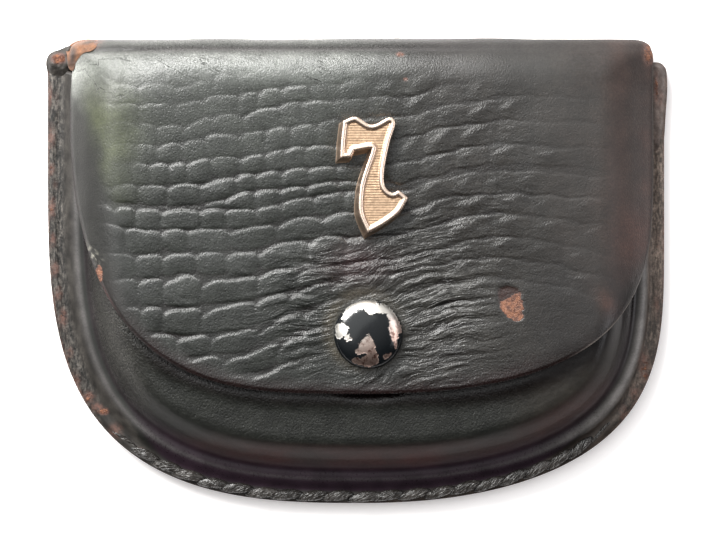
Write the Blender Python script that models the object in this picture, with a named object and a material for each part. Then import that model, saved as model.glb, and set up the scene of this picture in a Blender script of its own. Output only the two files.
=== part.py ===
"""Small D-shaped leather wallet, lying on its back with the flap snapped shut.

One sheet of leather makes the back, runs round the fold at the top and comes down as
the flap. A moulded pocket is sewn to the back. A snap holds the flap to the pocket,
and a cast numeral is pinned to the flap.

All sizes are in millimetres until a mesh is made, which is in metres. +Z is up and is
the side with the flap, +Y is the fold, and the origin is on the table, under the middle.
"""
import math
from typing import NamedTuple

import bmesh
import bpy
import numpy as np

MM = 0.001


class Side(NamedTuple):
    """Half of a D outline: straight down to the shoulder, then a superellipse."""
    reach: float
    shoulder: float
    across_power: float
    down_power: float


class Outline(NamedTuple):
    """A D outline, open at the top and round below."""
    middle: float
    top: float
    bottom: float
    left: Side
    right: Side


# Leather, and the clearance between pieces that touch
SHEET_THICKNESS = 1.4
GAP = 0.3

# Outlines seen from above
BODY = Outline(1.0, 36.25, -41.25, Side(55.9, 20.1, 2.79, 3.5), Side(53.9, 6.0, 2.17, 3.5))
FLAP = Outline(0.0, 36.85, -21.5, Side(50.9, 30.0, 3.29, 2.35), Side(52.7, 18.4, 2.56, 3.15))

# Section through the moulded pocket and the flap above it, from the sewn edge inwards:
# inset from the edge, outer and inner height of the pocket, outer height of the flap
SECTION = np.array((
    (0.0, 3.0, 1.7, 5.6),
    (2.6, 3.0, 1.7, 6.4),
    (3.3, 3.6, 1.8, 6.8),
    (4.2, 4.7, 2.9, 7.6),
    (5.4, 4.4, 3.1, 8.8),
    (6.4, 4.8, 3.2, 9.7),
    (7.4, 6.2, 3.9, 10.5),
    (8.4, 7.9, 5.4, 11.2),
    (9.3, 9.3, 7.1, 11.7),
    (10.2, 10.1, 8.5, 12.1),
    (11.4, 10.5, 9.1, 12.45),
    (13.0, 10.6, 9.3, 12.6),
))
INSET, POCKET_OUTSIDE, POCKET_INSIDE, FLAP_OUTSIDE = SECTION.T

# The moulded form sits a little to the right of the seam
FORM_SHIFT = 0.7
FORM_SHIFT_INSETS = (2.0, 4.2)

# Crown of the form, highest near the numeral
CROWN_HEIGHT = 0.8
CROWN_CENTRE = (1.0, 5.0)
CROWN_REACH = (52.0, 48.0)
CROWN_INSETS = (6.0, 11.0)

# Mouth of the pocket, lower in the middle than at the seam
MOUTH_DIP = 3.5
MOUTH_POWER = 6
MOUTH_BLEND_START = 20.0

# Fold along the top: two quarter ellipses, of which the one above is long in the middle
FOLD_TOP = 41.25
FOLD_REACH_ENDS = 2.6
FOLD_REACH_MIDDLE = 8.5
FOLD_END_BLEND = 12.0
FOLD_CORNER_DROP = 1.8
FOLD_CORNER_LENGTH = 3.5
SEAM_CORNER_CHAMFER = 0.5

# Snap: the pocket is pushed in round the stud, the flap only a little
SNAP_CENTRE = (2.2, -11.0)
DIMPLE_FLAT_RADIUS = 6.0
DIMPLE_RADIUS = 13.0
POCKET_DIMPLE = 2.5
FLAP_DIMPLE = 0.3
CAP_RADIUS = 6.05
CAP_HEIGHT = 2.9
CAP_RIM = 0.7
CAP_FULLNESS = 0.85
CAP_ROLL_HEIGHT = 0.25
CAP_ROLL_INSETS = (0.1, 0.5)
SHANK_RADIUS = 1.6
SOCKET_RADIUS = 3.4
SOCKET_THICKNESS = 1.3
STUD_RADIUS = 3.2
STUD_FLANGE = 0.5
STUD_NUB_RADIUS = 1.7
STUD_NUB_HEIGHT = 1.0
STUD_NUB_ROUNDING = 0.3
STUD_NUB_NECK = 0.2
STUD_SHANK_RADIUS = 1.3
ROSETTE_RADIUS = 2.8
ROSETTE_THICKNESS = 0.5

# Cast numeral: its foot is wider than its face, which stands a little up and to the right
NUMERAL_CENTRE = (2.7, 16.25)
NUMERAL_HEIGHT = 2.2
NUMERAL_FACE_SHIFT = (0.5, 0.6)
NUMERAL_DRAFT = 0.25
NUMERAL_RIM = 0.5
NUMERAL_FIELD_DEPTH = 0.45
NUMERAL_STEPS = 3
NUMERAL_MITRE = 1.3
# Points round the foot, from its centre: x, y, and True where the line turns a corner
NUMERAL_OUTLINE = (
    (-5.7, 9.7, True),
    (-3.2, 10.5, False),
    (-0.4, 9.1, False),
    (2.6, 10.4, False),
    (4.0, 9.2, False),
    (3.0, 5.7, False),
    (2.1, 1.2, False),
    (2.1, -1.6, False),
    (3.2, -2.8, False),
    (4.4, -2.4, False),
    (6.3, -3.9, True),
    (4.6, -6.7, False),
    (1.9, -8.8, False),
    (-1.3, -10.5, True),
    (-2.9, -6.7, False),
    (-2.9, -3.0, False),
    (-2.3, -0.1, False),
    (-0.7, 4.5, True),
    (-3.3, 4.0, True),
    (-3.9, 2.9, True),
    (-6.3, 2.7, True),
    (-6.1, 6.2, False),
)

# Mesh resolution
TRACE_STEPS = 400
STRAIGHT_STEPS = 40
SHEET_COLUMNS = 30
FLAP_ROWS = 16
BACK_ROWS = 12
NECK_COLUMNS = 2
FOLD_ROWS = 10
POCKET_COLUMNS = 26
POCKET_ROWS = 16
EDGE_PULL = 0.5
CAP_SIDES = 28
CAP_DOME_STEPS = 6
STUD_SIDES = 20
SHARP_ANGLE = math.radians(35.0)


def smooth(value, start, end):
    """Rise smoothly from 0 at start to 1 at end."""
    share = np.clip((value - start) / (end - start), 0.0, 1.0)
    return share * share * (3.0 - 2.0 * share)


def graded(count):
    """Shares from 0 to 1 that lie closer together near both ends."""
    share = np.linspace(0.0, 1.0, count + 1)
    return (1.0 - EDGE_PULL) * share + EDGE_PULL * (1.0 - np.cos(math.pi * share)) / 2.0


def trace(outline, top=None):
    """Walk a D outline from its top left corner round the bottom to its top right."""
    angle = np.linspace(0.0, math.pi / 2.0, TRACE_STEPS)
    halves = []
    for side, sign in ((outline.left, -1.0), (outline.right, 1.0)):
        x = outline.middle + sign * side.reach * np.cos(angle).clip(0.0) ** (2.0 / side.across_power)
        drop = side.shoulder - outline.bottom
        y = side.shoulder - drop * np.sin(angle) ** (2.0 / side.down_power)
        straight = np.linspace(outline.top if top is None else top, side.shoulder,
                               STRAIGHT_STEPS, endpoint=False)
        halves.append(np.column_stack((
            np.concatenate((np.full(STRAIGHT_STEPS, x[0]), x)),
            np.concatenate((straight, y)),
        )))
    left, right = halves
    return np.vstack((left, right[-2::-1]))


def lengths_along(path):
    """Distance travelled at each point of a path."""
    steps = np.linalg.norm(np.diff(path, axis=0), axis=1)
    return np.concatenate(((0.0,), np.cumsum(steps)))


def resample(path, shares):
    """Points at the given shares of a path's length."""
    travelled = lengths_along(path)
    wanted = np.asarray(shares) * travelled[-1]
    return np.column_stack([np.interp(wanted, travelled, column) for column in path.T])


def split_outline(path):
    """Cut a D path where it turns past 45 degrees: left side, bottom, right side."""
    step = np.abs(np.diff(path, axis=0))
    flatter = np.nonzero(step[:, 0] > step[:, 1])[0]
    first, last = flatter[0], flatter[-1] + 1
    return path[:first + 1], path[first:last + 1], path[last:]


def coons(top, left, bottom, right, across):
    """Fill the four sides of a patch with a grid; rows run from the top to the bottom."""
    u = np.asarray(across)[None, :, None]
    v = np.linspace(0.0, 1.0, len(left))[:, None, None]
    rules = (1.0 - v) * top[None] + v * bottom[None]
    rails = (1.0 - u) * left[:, None] + u * right[:, None]
    corners = ((1.0 - u) * (1.0 - v) * top[0] + u * (1.0 - v) * top[-1]
               + (1.0 - u) * v * bottom[0] + u * v * bottom[-1])
    return rules + rails - corners


def inset_from_edge(points):
    """Distance from the moulded form's own outline, which runs on past the fold."""
    path = trace(BODY, top=2.0 * FOLD_TOP)
    path = resample(path, np.linspace(0.0, 1.0, 2 * TRACE_STEPS)) + (FORM_SHIFT, 0.0)
    flat = points.reshape(-1, 2)
    nearest = [np.min(np.hypot(path[:, 0] - x, path[:, 1] - y)) for x, y in flat]
    return np.array(nearest).reshape(points.shape[:-1])


def crown(points, inset):
    """Gentle bulge of the filled pocket, which the flap above it follows."""
    x = (points[..., 0] - CROWN_CENTRE[0]) / CROWN_REACH[0]
    y = (points[..., 1] - CROWN_CENTRE[1]) / CROWN_REACH[1]
    bulge = (1.0 - x * x).clip(0.0) * (1.0 - y * y).clip(0.0)
    return CROWN_HEIGHT * bulge * smooth(inset, *CROWN_INSETS)


def dimple(points):
    """1 under the snap, fading to 0 at the dimple's edge."""
    radius = np.hypot(points[..., 0] - SNAP_CENTRE[0], points[..., 1] - SNAP_CENTRE[1])
    return 1.0 - smooth(radius, DIMPLE_FLAT_RADIUS, DIMPLE_RADIUS)


def pocket_heights(points, inset):
    """Outer and inner height of the pocket's leather."""
    shared = crown(points, inset) - POCKET_DIMPLE * dimple(points)
    outside = np.interp(inset, INSET, POCKET_OUTSIDE) + shared
    inside = np.interp(inset, INSET, POCKET_INSIDE) + shared
    return outside, inside


def flap_height(points):
    """Outer height of the flap."""
    inset = inset_from_edge(points)
    lid = np.interp(inset, INSET, FLAP_OUTSIDE)
    return lid + crown(points, inset) - FLAP_DIMPLE * dimple(points)


def at_point(height, point):
    """One height of a surface at one place."""
    return float(height(np.array([point]))[0])


def grid_faces(rows, columns):
    """Quads of a grid, facing along row step x column step."""
    faces = []
    for row in range(rows - 1):
        for column in range(columns - 1):
            corner = row * columns + column
            faces.append((corner, corner + columns, corner + columns + 1, corner + 1))
    return faces


def weld(points, faces):
    """Merge the points that two grids share."""
    kept, index = np.unique(np.round(points, 4), axis=0, return_inverse=True)
    index = index.ravel()
    return kept, [tuple(int(index[corner]) for corner in face) for face in faces]


def close_slab(faces, count):
    """Faces of a slab whose lower points follow its upper ones, with walls round every edge."""
    closed = list(faces)
    closed += [tuple(corner + count for corner in reversed(face)) for face in faces]
    edges = {edge for face in faces for edge in zip(face, face[1:] + face[:1])}
    for start, end in edges:
        if (end, start) not in edges:
            closed.append((end, start, start + count, end + count))
    return closed


def make_material(name, color, roughness, metallic=0.0):
    material = bpy.data.materials.new(name)
    material.use_nodes = True
    shader = material.node_tree.nodes["Principled BSDF"]
    shader.inputs["Base Color"].default_value = (*color, 1.0)
    shader.inputs["Roughness"].default_value = roughness
    shader.inputs["Metallic"].default_value = metallic
    return material


def make_object(name, points, faces, material, location=(0.0, 0.0, 0.0)):
    """Make a smooth-shaded object from points in millimetres."""
    mesh = bpy.data.meshes.new(name)
    mesh.from_pydata((np.asarray(points) * MM).tolist(), [], faces)
    mesh.materials.append(material)
    mesh.shade_smooth()
    mesh.set_sharp_from_angle(angle=SHARP_ANGLE)
    piece = bpy.data.objects.new(name, mesh)
    piece.location = [value * MM for value in location]
    bpy.context.scene.collection.objects.link(piece)
    return piece


def turn_profile(name, profile, sides, material, location):
    """Turn a profile of (radius, height) rows, which starts and ends on the axis."""
    angles = np.linspace(0.0, 2.0 * math.pi, sides, endpoint=False)
    rings = profile[1:-1]
    points = [(0.0, 0.0, profile[0][1])]
    for radius, height in rings:
        points += [(radius * math.cos(a), radius * math.sin(a), height) for a in angles]
    points.append((0.0, 0.0, profile[-1][1]))
    last = len(points) - 1
    faces = []
    for side in range(sides):
        following = (side + 1) % sides
        faces.append((0, 1 + side, 1 + following))
        for ring in range(len(rings) - 1):
            upper = 1 + ring * sides
            lower = upper + sides
            faces.append((upper + side, lower + side, lower + following, upper + following))
        final = 1 + (len(rings) - 1) * sides
        faces.append((final + side, last, final + following))
    return make_object(name, points, faces, material, location)


def cut_snap_hole(piece, radius, height):
    """Cut a round hole through the leather at the snap."""
    mesh = bpy.data.meshes.new(piece.name + "_hole_cutter")
    form = bmesh.new()
    bmesh.ops.create_cone(form, cap_ends=True, segments=STUD_SIDES, radius1=radius * MM,
                          radius2=radius * MM, depth=4.0 * SHEET_THICKNESS * MM)
    form.to_mesh(mesh)
    form.free()
    cutter = bpy.data.objects.new(mesh.name, mesh)
    cutter.location = (SNAP_CENTRE[0] * MM, SNAP_CENTRE[1] * MM, height * MM)
    cutter.hide_render = True
    cutter.display_type = "WIRE"
    bpy.context.scene.collection.objects.link(cutter)
    hole = piece.modifiers.new("snap_hole", "BOOLEAN")
    hole.operation = "DIFFERENCE"
    hole.object = cutter


def fold_rows(x):
    """Across the fold: its outermost line, how far it reaches above, and its height."""
    from_end = np.minimum(x - x[0], x[-1] - x)
    corner = 1.0 - np.clip(from_end / FOLD_CORNER_LENGTH, 0.0, 1.0)
    outermost = FOLD_TOP - FOLD_CORNER_DROP * (1.0 - np.sqrt(1.0 - corner * corner))
    middle = smooth(from_end, 0.0, FOLD_END_BLEND)
    above = FOLD_REACH_ENDS + (FOLD_REACH_MIDDLE - FOLD_REACH_ENDS) * middle
    height = flap_height(np.column_stack((x, outermost - above)))
    return outermost, above, height


def back_panel_grid(x):
    """Flat back, as wide as the seam; its top row passes through the fold's points."""
    left, bottom, right = split_outline(trace(BODY))
    left[0] += (SEAM_CORNER_CHAMFER, -SEAM_CORNER_CHAMFER)
    right[-1] -= SEAM_CORNER_CHAMFER
    steps = np.arange(1, NECK_COLUMNS) / NECK_COLUMNS
    shoulders = [left[0, 0] + steps * (x[0] - left[0, 0]),
                 x[-1] + steps * (right[-1, 0] - x[-1])]
    top_x = np.concatenate((left[:1, 0], shoulders[0], x, shoulders[1], right[-1:, 0]))
    top = np.column_stack((top_x, np.full(len(top_x), BODY.top)))
    top[0], top[-1] = left[0], right[-1]
    across = (top_x - top_x[0]) / (top_x[-1] - top_x[0])
    down = np.linspace(0.0, 1.0, BACK_ROWS + 1)
    return coons(top, resample(left, down), resample(bottom, across),
                 resample(right[::-1], down), across)


def flap_grid(across, x, fold_end):
    """Flap from the fold down to its round lower edge."""
    left, bottom, right = split_outline(trace(FLAP))
    down = np.linspace(0.0, 1.0, FLAP_ROWS + 1)
    left = np.vstack(((x[0], fold_end[0]), left[1:]))
    right = np.vstack((right[:-1], (x[-1], fold_end[-1])))
    return coons(np.column_stack((x, fold_end)), resample(left, down),
                 resample(bottom, across), resample(right[::-1], down), across)


def build_back_and_flap(material):
    """One sheet: up the back, round the fold and down the flap, thickened inwards."""
    across = graded(SHEET_COLUMNS)
    x = FLAP.middle - FLAP.left.reach + (FLAP.left.reach + FLAP.right.reach) * across
    outermost, above, height = fold_rows(x)
    back = back_panel_grid(x)
    rows = []
    for turn in np.linspace(-math.pi / 2.0, math.pi / 2.0, FOLD_ROWS + 1)[:-1]:
        reach = outermost - BODY.top if turn < 0.0 else above
        y = outermost - reach * (1.0 - math.cos(turn))
        rows.append(np.column_stack((x, y, height * (1.0 + math.sin(turn)) / 2.0)))
    rows += [np.column_stack((row, flap_height(row)))
             for row in flap_grid(across, x, outermost - above)]
    back_points = np.dstack((back, np.zeros(back.shape[:2]))).reshape(-1, 3)
    faces = [face[::-1] for face in grid_faces(*back.shape[:2])]
    faces += [tuple(corner + len(back_points) for corner in face)
              for face in grid_faces(len(rows), len(x))]
    points, faces = weld(np.vstack((back_points, *rows)), faces)
    sheet = make_object("back_and_flap", points, faces, material)
    wall = sheet.modifiers.new("leather", "SOLIDIFY")
    wall.thickness = SHEET_THICKNESS * MM
    wall.offset = -1.0
    cut_snap_hole(sheet, SHANK_RADIUS + GAP, at_point(flap_height, SNAP_CENTRE))


def lower_mouth(points):
    """Draw the pocket's mouth down in the middle, and leave it level at the seam."""
    x = np.abs(points[..., 0] - BODY.middle) / BODY.right.reach
    mouth = BODY.top - MOUTH_DIP * (1.0 - x.clip(0.0, 1.0) ** MOUTH_POWER)
    above = (points[..., 1] - MOUTH_BLEND_START).clip(0.0)
    squeeze = (mouth - MOUTH_BLEND_START) / (BODY.top - MOUTH_BLEND_START)
    lowered = np.where(above > 0.0, MOUTH_BLEND_START + above * squeeze, points[..., 1])
    return np.stack((points[..., 0], lowered), axis=-1)


def build_front_pocket(material):
    """Moulded front: a flat sewn edge, a bead, a steep wall and a crowned top."""
    left, bottom, right = split_outline(trace(BODY))
    even = np.linspace(0.0, 1.0, POCKET_ROWS + 1)
    columns = np.linspace(0.0, 1.0, POCKET_COLUMNS + 1)
    edge = np.vstack((resample(left, even), resample(bottom, columns)[1:],
                      resample(right, even)[1:]))
    travel = np.gradient(edge, axis=0)
    travel[0] = travel[-1] = (0.0, 1.0)
    travel[0] *= -1.0
    inward = np.column_stack((-travel[:, 1], travel[:, 0]))
    inward /= np.linalg.norm(inward, axis=1)[:, None]
    shift = FORM_SHIFT * smooth(INSET, *FORM_SHIFT_INSETS)
    rings = edge[None] + INSET[:, None, None] * inward[None]
    rings[..., 0] += shift[:, None]
    inner = rings[-1]
    corner = POCKET_ROWS + POCKET_COLUMNS
    top = inner[0] + columns[:, None] * (inner[-1] - inner[0])
    patch = coons(top, inner[:POCKET_ROWS + 1], inner[POCKET_ROWS:corner + 1],
                  inner[:corner - 1:-1], columns)
    plan = np.vstack((rings.reshape(-1, 2), patch.reshape(-1, 2)))
    inset = np.concatenate((np.repeat(INSET, len(edge)),
                            np.full(patch.shape[0] * patch.shape[1], INSET[-1])))
    plan = lower_mouth(plan)
    outside, inside = pocket_heights(plan, inset)
    faces = [face[::-1] for face in grid_faces(len(INSET), len(edge))]
    faces += [tuple(corner + len(edge) * len(INSET) for corner in face)
              for face in grid_faces(*patch.shape[:2])]
    both, faces = weld(np.column_stack((plan, outside, inside)), faces)
    points = np.vstack((both[:, :3], both[:, (0, 1, 3)]))
    pocket = make_object("front_pocket", points, close_slab(faces, len(both)), material)
    cut_snap_hole(pocket, STUD_SHANK_RADIUS + GAP, at_point(pocket_top, SNAP_CENTRE))


def pocket_top(points):
    return pocket_heights(points, inset_from_edge(points))[0]


def build_snap_cap(material):
    """Domed cap on the flap, with its shank through the leather and its socket below."""
    angles = np.linspace(0.0, 2.0 * math.pi, CAP_SIDES)
    ring = CAP_RADIUS * np.column_stack((np.cos(angles), np.sin(angles))) + SNAP_CENTRE
    seat = float(flap_height(ring).max()) + GAP
    leather_under = at_point(flap_height, SNAP_CENTRE) - SHEET_THICKNESS
    socket_top = leather_under - GAP - seat
    socket_bottom = socket_top - SOCKET_THICKNESS
    recess_radius = STUD_NUB_RADIUS + GAP
    recess_top = socket_bottom + STUD_NUB_HEIGHT
    profile = [(0.0, CAP_HEIGHT)]
    for turn in np.linspace(0.0, math.pi / 2.0, CAP_DOME_STEPS + 1)[1:]:
        profile.append((CAP_RADIUS * math.sin(turn) ** CAP_FULLNESS,
                        CAP_RIM + (CAP_HEIGHT - CAP_RIM) * math.cos(turn)))
    profile += [
        (CAP_RADIUS - CAP_ROLL_INSETS[0], CAP_ROLL_HEIGHT),
        (CAP_RADIUS - CAP_ROLL_INSETS[1], 0.0),
        (SHANK_RADIUS, 0.0),
        (SHANK_RADIUS, socket_top),
        (SOCKET_RADIUS, socket_top),
        (SOCKET_RADIUS, socket_bottom),
        (recess_radius, socket_bottom),
        (recess_radius, recess_top),
        (0.0, recess_top),
    ]
    return turn_profile("snap_cap", profile, CAP_SIDES, material, (*SNAP_CENTRE, seat))


def build_snap_stud(material):
    """Hidden stud, riveted through the front of the pocket."""
    seat = at_point(pocket_top, SNAP_CENTRE) + GAP
    rosette_top = -GAP - (POCKET_OUTSIDE[-1] - POCKET_INSIDE[-1]) - GAP
    profile = [
        (0.0, STUD_FLANGE + STUD_NUB_HEIGHT),
        (STUD_NUB_RADIUS - STUD_NUB_ROUNDING, STUD_FLANGE + STUD_NUB_HEIGHT),
        (STUD_NUB_RADIUS, STUD_FLANGE + STUD_NUB_HEIGHT / 2.0),
        (STUD_NUB_RADIUS - STUD_NUB_NECK, STUD_FLANGE),
        (STUD_RADIUS, STUD_FLANGE),
        (STUD_RADIUS, 0.0),
        (STUD_SHANK_RADIUS, 0.0),
        (STUD_SHANK_RADIUS, rosette_top),
        (ROSETTE_RADIUS, rosette_top),
        (ROSETTE_RADIUS, rosette_top - ROSETTE_THICKNESS),
        (0.0, rosette_top - ROSETTE_THICKNESS),
    ]
    return turn_profile("snap_stud", profile, STUD_SIDES, material, (*SNAP_CENTRE, seat))


def numeral_outline():
    """Smooth closed line through the outline's points, turning sharply at its corners."""
    rows = NUMERAL_OUTLINE
    count = len(rows)
    line = []
    for index in range(count):
        here = np.array(rows[index][:2])
        after = np.array(rows[(index + 1) % count][:2])
        before = np.array(rows[index - 1][:2])
        beyond = np.array(rows[(index + 2) % count][:2])
        leave = (after - here) if rows[index][2] else (after - before) / 2.0
        arrive = (after - here) if rows[(index + 1) % count][2] else (beyond - here) / 2.0
        for t in np.arange(NUMERAL_STEPS) / NUMERAL_STEPS:
            line.append((2 * t**3 - 3 * t**2 + 1) * here + (t**3 - 2 * t**2 + t) * leave
                        + (3 * t**2 - 2 * t**3) * after + (t**3 - t**2) * arrive)
    return np.array(line)


def inset_line(line, distance):
    """Move a closed line, walked clockwise, inwards; corners keep a modest mitre."""
    before = line - np.roll(line, 1, axis=0)
    after = np.roll(line, -1, axis=0) - line
    before /= np.linalg.norm(before, axis=1)[:, None]
    after /= np.linalg.norm(after, axis=1)[:, None]
    normal = np.column_stack((before[:, 1] + after[:, 1], -before[:, 0] - after[:, 0]))
    length = np.linalg.norm(normal, axis=1)[:, None]
    mitre = np.minimum(2.0 / length, NUMERAL_MITRE)
    return line + normal / length * distance * mitre


def build_numeral(material):
    """Cast 7 with drafted sides, a raised rim and a sunk field."""
    foot = numeral_outline()
    face = inset_line(foot, NUMERAL_DRAFT) + NUMERAL_FACE_SHIFT
    rim_inside = inset_line(face, NUMERAL_RIM)
    seat = flap_height(foot + NUMERAL_CENTRE)
    level = float(seat.mean()) + GAP
    count = len(foot)
    levels = (
        (foot, seat + GAP - level),
        (face, np.full(count, NUMERAL_HEIGHT)),
        (rim_inside, np.full(count, NUMERAL_HEIGHT)),
        (rim_inside, np.full(count, NUMERAL_HEIGHT - NUMERAL_FIELD_DEPTH)),
    )
    points = np.vstack([np.column_stack(pair) for pair in levels])
    faces = [tuple(range(count))]
    for ring in range(len(levels) - 1):
        for index in range(count):
            following = (index + 1) % count
            lower = ring * count
            faces.append((lower + following, lower + index,
                          lower + count + index, lower + count + following))
    faces.append(tuple(reversed(range(3 * count, 4 * count))))
    return make_object("numeral_seven", points, faces, material, (*NUMERAL_CENTRE, level))


def clear_scene():
    for item in list(bpy.data.objects):
        bpy.data.objects.remove(item, do_unlink=True)


def build_wallet():
    clear_scene()
    build_back_and_flap(make_material("embossed_leather", (0.045, 0.045, 0.045), 0.45))
    build_front_pocket(make_material("moulded_leather", (0.035, 0.028, 0.028), 0.4))
    build_snap_cap(make_material("black_enamel", (0.01, 0.01, 0.012), 0.2))
    build_snap_stud(make_material("plated_steel", (0.55, 0.55, 0.55), 0.3, 1.0))
    build_numeral(make_material("gilt_brass", (0.75, 0.5, 0.36), 0.3, 1.0))


build_wallet()
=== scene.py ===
import math
from collections import namedtuple

import bmesh
import bpy
import numpy as np
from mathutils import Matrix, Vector, kdtree


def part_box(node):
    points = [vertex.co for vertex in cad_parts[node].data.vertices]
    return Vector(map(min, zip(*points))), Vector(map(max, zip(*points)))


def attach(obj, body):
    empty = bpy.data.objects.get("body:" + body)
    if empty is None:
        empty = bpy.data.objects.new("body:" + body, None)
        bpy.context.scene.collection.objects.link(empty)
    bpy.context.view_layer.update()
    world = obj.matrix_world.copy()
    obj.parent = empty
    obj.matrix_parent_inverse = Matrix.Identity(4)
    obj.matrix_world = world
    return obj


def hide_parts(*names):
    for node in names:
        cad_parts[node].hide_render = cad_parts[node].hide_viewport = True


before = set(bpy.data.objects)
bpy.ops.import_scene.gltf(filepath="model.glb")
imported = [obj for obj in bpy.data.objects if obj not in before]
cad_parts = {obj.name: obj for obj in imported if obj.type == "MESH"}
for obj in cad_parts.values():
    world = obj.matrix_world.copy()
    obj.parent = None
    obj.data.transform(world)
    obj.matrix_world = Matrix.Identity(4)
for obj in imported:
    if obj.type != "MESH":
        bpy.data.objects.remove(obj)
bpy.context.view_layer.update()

MM = 0.001

# The frame's own sizes. A D outline goes straight down to each side's shoulder, and from
# there along a superellipse
Side = namedtuple("Side", "reach shoulder across_power down_power")
Outline = namedtuple("Outline", "middle top bottom left right")
BODY = Outline(1, 36.25, -41.25, Side(55.9, 20.1, 2.79, 3.5), Side(53.9, 6, 2.17, 3.5))
FLAP = Outline(0, 36.85, -21.5, Side(50.9, 30, 3.29, 2.35), Side(52.7, 18.4, 2.56, 3.15))
FLAP_ENDS = (FLAP.middle - FLAP.left.reach, FLAP.middle + FLAP.right.reach)
# Inset from the sewn edge, outer and inner height of the pocket, outer height of the flap
SECTION = np.array((
    (0, 2.8, 1.7, 5.6), (0.8, 3.05, 1.7, 5.9), (2.2, 3, 1.7, 6.3), (3, 3.35, 1.75, 6.6),
    (3.7, 4.2, 2.3, 7.15), (4.4, 4.6, 2.95, 7.85), (5.2, 4.35, 3.05, 8.6), (6, 4.4, 3.15, 9.35),
    (6.8, 5.2, 3.45, 10.05), (7.6, 6.55, 4.15, 10.65), (8.4, 7.9, 5.4, 11.2), (9.3, 9.2, 7.1, 11.7),
    (10.2, 10.05, 8.5, 12.1), (11.4, 10.5, 9.1, 12.45), (13, 10.6, 9.3, 12.6),
))
INSET, POCKET_OUTSIDE, POCKET_INSIDE, FLAP_OUTSIDE = SECTION.T
SHEET_THICKNESS = 1.4
FORM_SHIFT = 0.7
FORM_SHIFT_INSETS = (2, 4.2)
CROWN_HEIGHT = 0.8
CROWN_CENTRE = (1, 5)
CROWN_REACH = (52, 48)
CROWN_INSETS = (6, 11)
MOUTH_DIP = 3.5
MOUTH_POWER = 6
MOUTH_BLEND_START = 20
FOLD_TOP = 41.25
FOLD_REACH_ENDS = 2.6
FOLD_REACH_MIDDLE = 8.5
FOLD_END_BLEND = 12
FOLD_CORNER_DROP = 1.8
FOLD_CORNER_LENGTH = 3.5
SEAM_CORNER_CHAMFER = 0.5
SNAP_CENTRE = (2.2, -11)
DIMPLE_FLAT_RADIUS = 6
DIMPLE_RADIUS = 13
POCKET_DIMPLE = 2.5
FLAP_DIMPLE = 0.3
CAP_RADIUS = 6.05
CAP_HEIGHT = 2.9
CAP_RIM = 0.7
CAP_FULLNESS = 0.85
SHANK_RADIUS = 1.6
NUMERAL_CENTRE = (2.7, 16.25)
NUMERAL_FACE_SHIFT = (0.5, 0.6)
NUMERAL_DRAFT = 0.25
# Points of the numeral's foot; those with a third value are corners
NUMERAL_OUTLINE = (
    (-5.7, 9.7, 1), (-3.2, 10.5), (-0.4, 9.1), (2.6, 10.4), (4, 9.2), (3, 5.7), (2.1, 1.2),
    (2.1, -1.6), (3.2, -2.8), (4.4, -2.4), (6.3, -3.9, 1), (4.6, -6.7), (1.9, -8.8),
    (-1.3, -10.5, 1), (-2.9, -6.7), (-2.9, -3), (-2.3, -0.1), (-0.7, 4.5, 1), (-3.3, 4, 1),
    (-3.9, 2.9, 1), (-6.3, 2.7, 1), (-6.1, 6.2),
)

# Mesh resolution: the outer skins are finer than the skins inside by this factor
FINE = 4
SHEET_COLUMNS = 68
FLAP_ROWS = 66
FOLD_ROWS = 9
BACK_ROWS = 20
NECK_COLUMNS = 2
POCKET_COLUMNS = 48
POCKET_ROWS = 27
POCKET_RINGS = 15
EDGE_PULL = 0.3
TRACE_STEPS = 400
STRAIGHT_STEPS = 40
CAP_RINGS = 70
CAP_SIDES = 288
SOCKET_SIDES = 64
NUMERAL_STEPS = 8
NUMERAL_CELL = 0.13
SCRAP_STEPS = 6
SCRAP_CELL = 0.22
CORD_RINGS = 29
CORD_SIDES = 32

# Relief: depths in millimetres, and the place of the groove along the fold
SCALE_DEPTH = 0.35
CREASE_DEPTH = 0.26
CHIP_DEPTH = 0.06
RIB_PITCH = 0.45
RIB_DEPTH = 0.018
FOLD_GROOVE = 39.5
CORD_PITCH = 4.55
CORD_ENDS = (-29, -26)
# How far below the top the numeral's face lies at these distances from its outline
RIM_INSETS = (0, 0.06, 0.18, 0.38, 0.58, 0.76, 0.9, 1)
RIM_DROPS = (0.26, 0.12, 0.03, 0, 0.02, 0.09, 0.27, 0.38)
# Insets and heights of the bead, worn softer than the frame's
BEAD_INSETS, BEAD_HEIGHTS = np.array((
    (2.2, 3), (2.6, 3.12), (3, 3.38), (3.4, 3.68), (3.8, 3.92), (4.2, 4.11), (4.6, 4.23),
    (5, 4.28), (5.4, 4.28), (5.8, 4.35), (6.2, 4.56), (6.8, 5.15), (7.6, 6.4), (8.4, 7.9),
)).T

# Worn places on the sewn rim: middle, reach and strength
WORN = (
    (-54.6, 31.4, 0.8, 3, 0.44), (-54.3, 24, 1, 3, 0.42), (-54.3, 18.3, 0.9, 1.6, 0.45),
    (-54.2, 11.3, 1, 2.6, 0.46), (-54, 5.6, 0.8, 1.8, 0.43), (-53.6, 0.5, 1, 1.8, 0.46),
    (-53, -3.9, 1, 1.6, 0.44), (-52.2, -8.3, 1.1, 2.4, 0.45), (-51, -14.5, 1, 1.6, 0.38),
    (-50, -19.5, 1.3, 2.2, 0.42), (-47.6, -22.2, 1.5, 1.2, 0.5), (-46.2, -24.2, 1.3, 1.2, 0.56),
    (-44.9, -24.9, 0.9, 0.6, 1.1), (-42.9, -28.4, 1.8, 1.8, 0.44), (-38.6, -32, 1.4, 1, 0.4),
    (51.3, -16.6, 1.3, 3.4, 0.52), (51.7, -18.6, 0.6, 0.9, 0.66), (49.6, -21.6, 1.2, 1.8, 0.46),
    (47.6, -25.2, 1, 2.2, 0.42), (53.6, -6, 0.9, 3.6, 0.38), (53.9, 5, 0.7, 4, 0.34),
)

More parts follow.
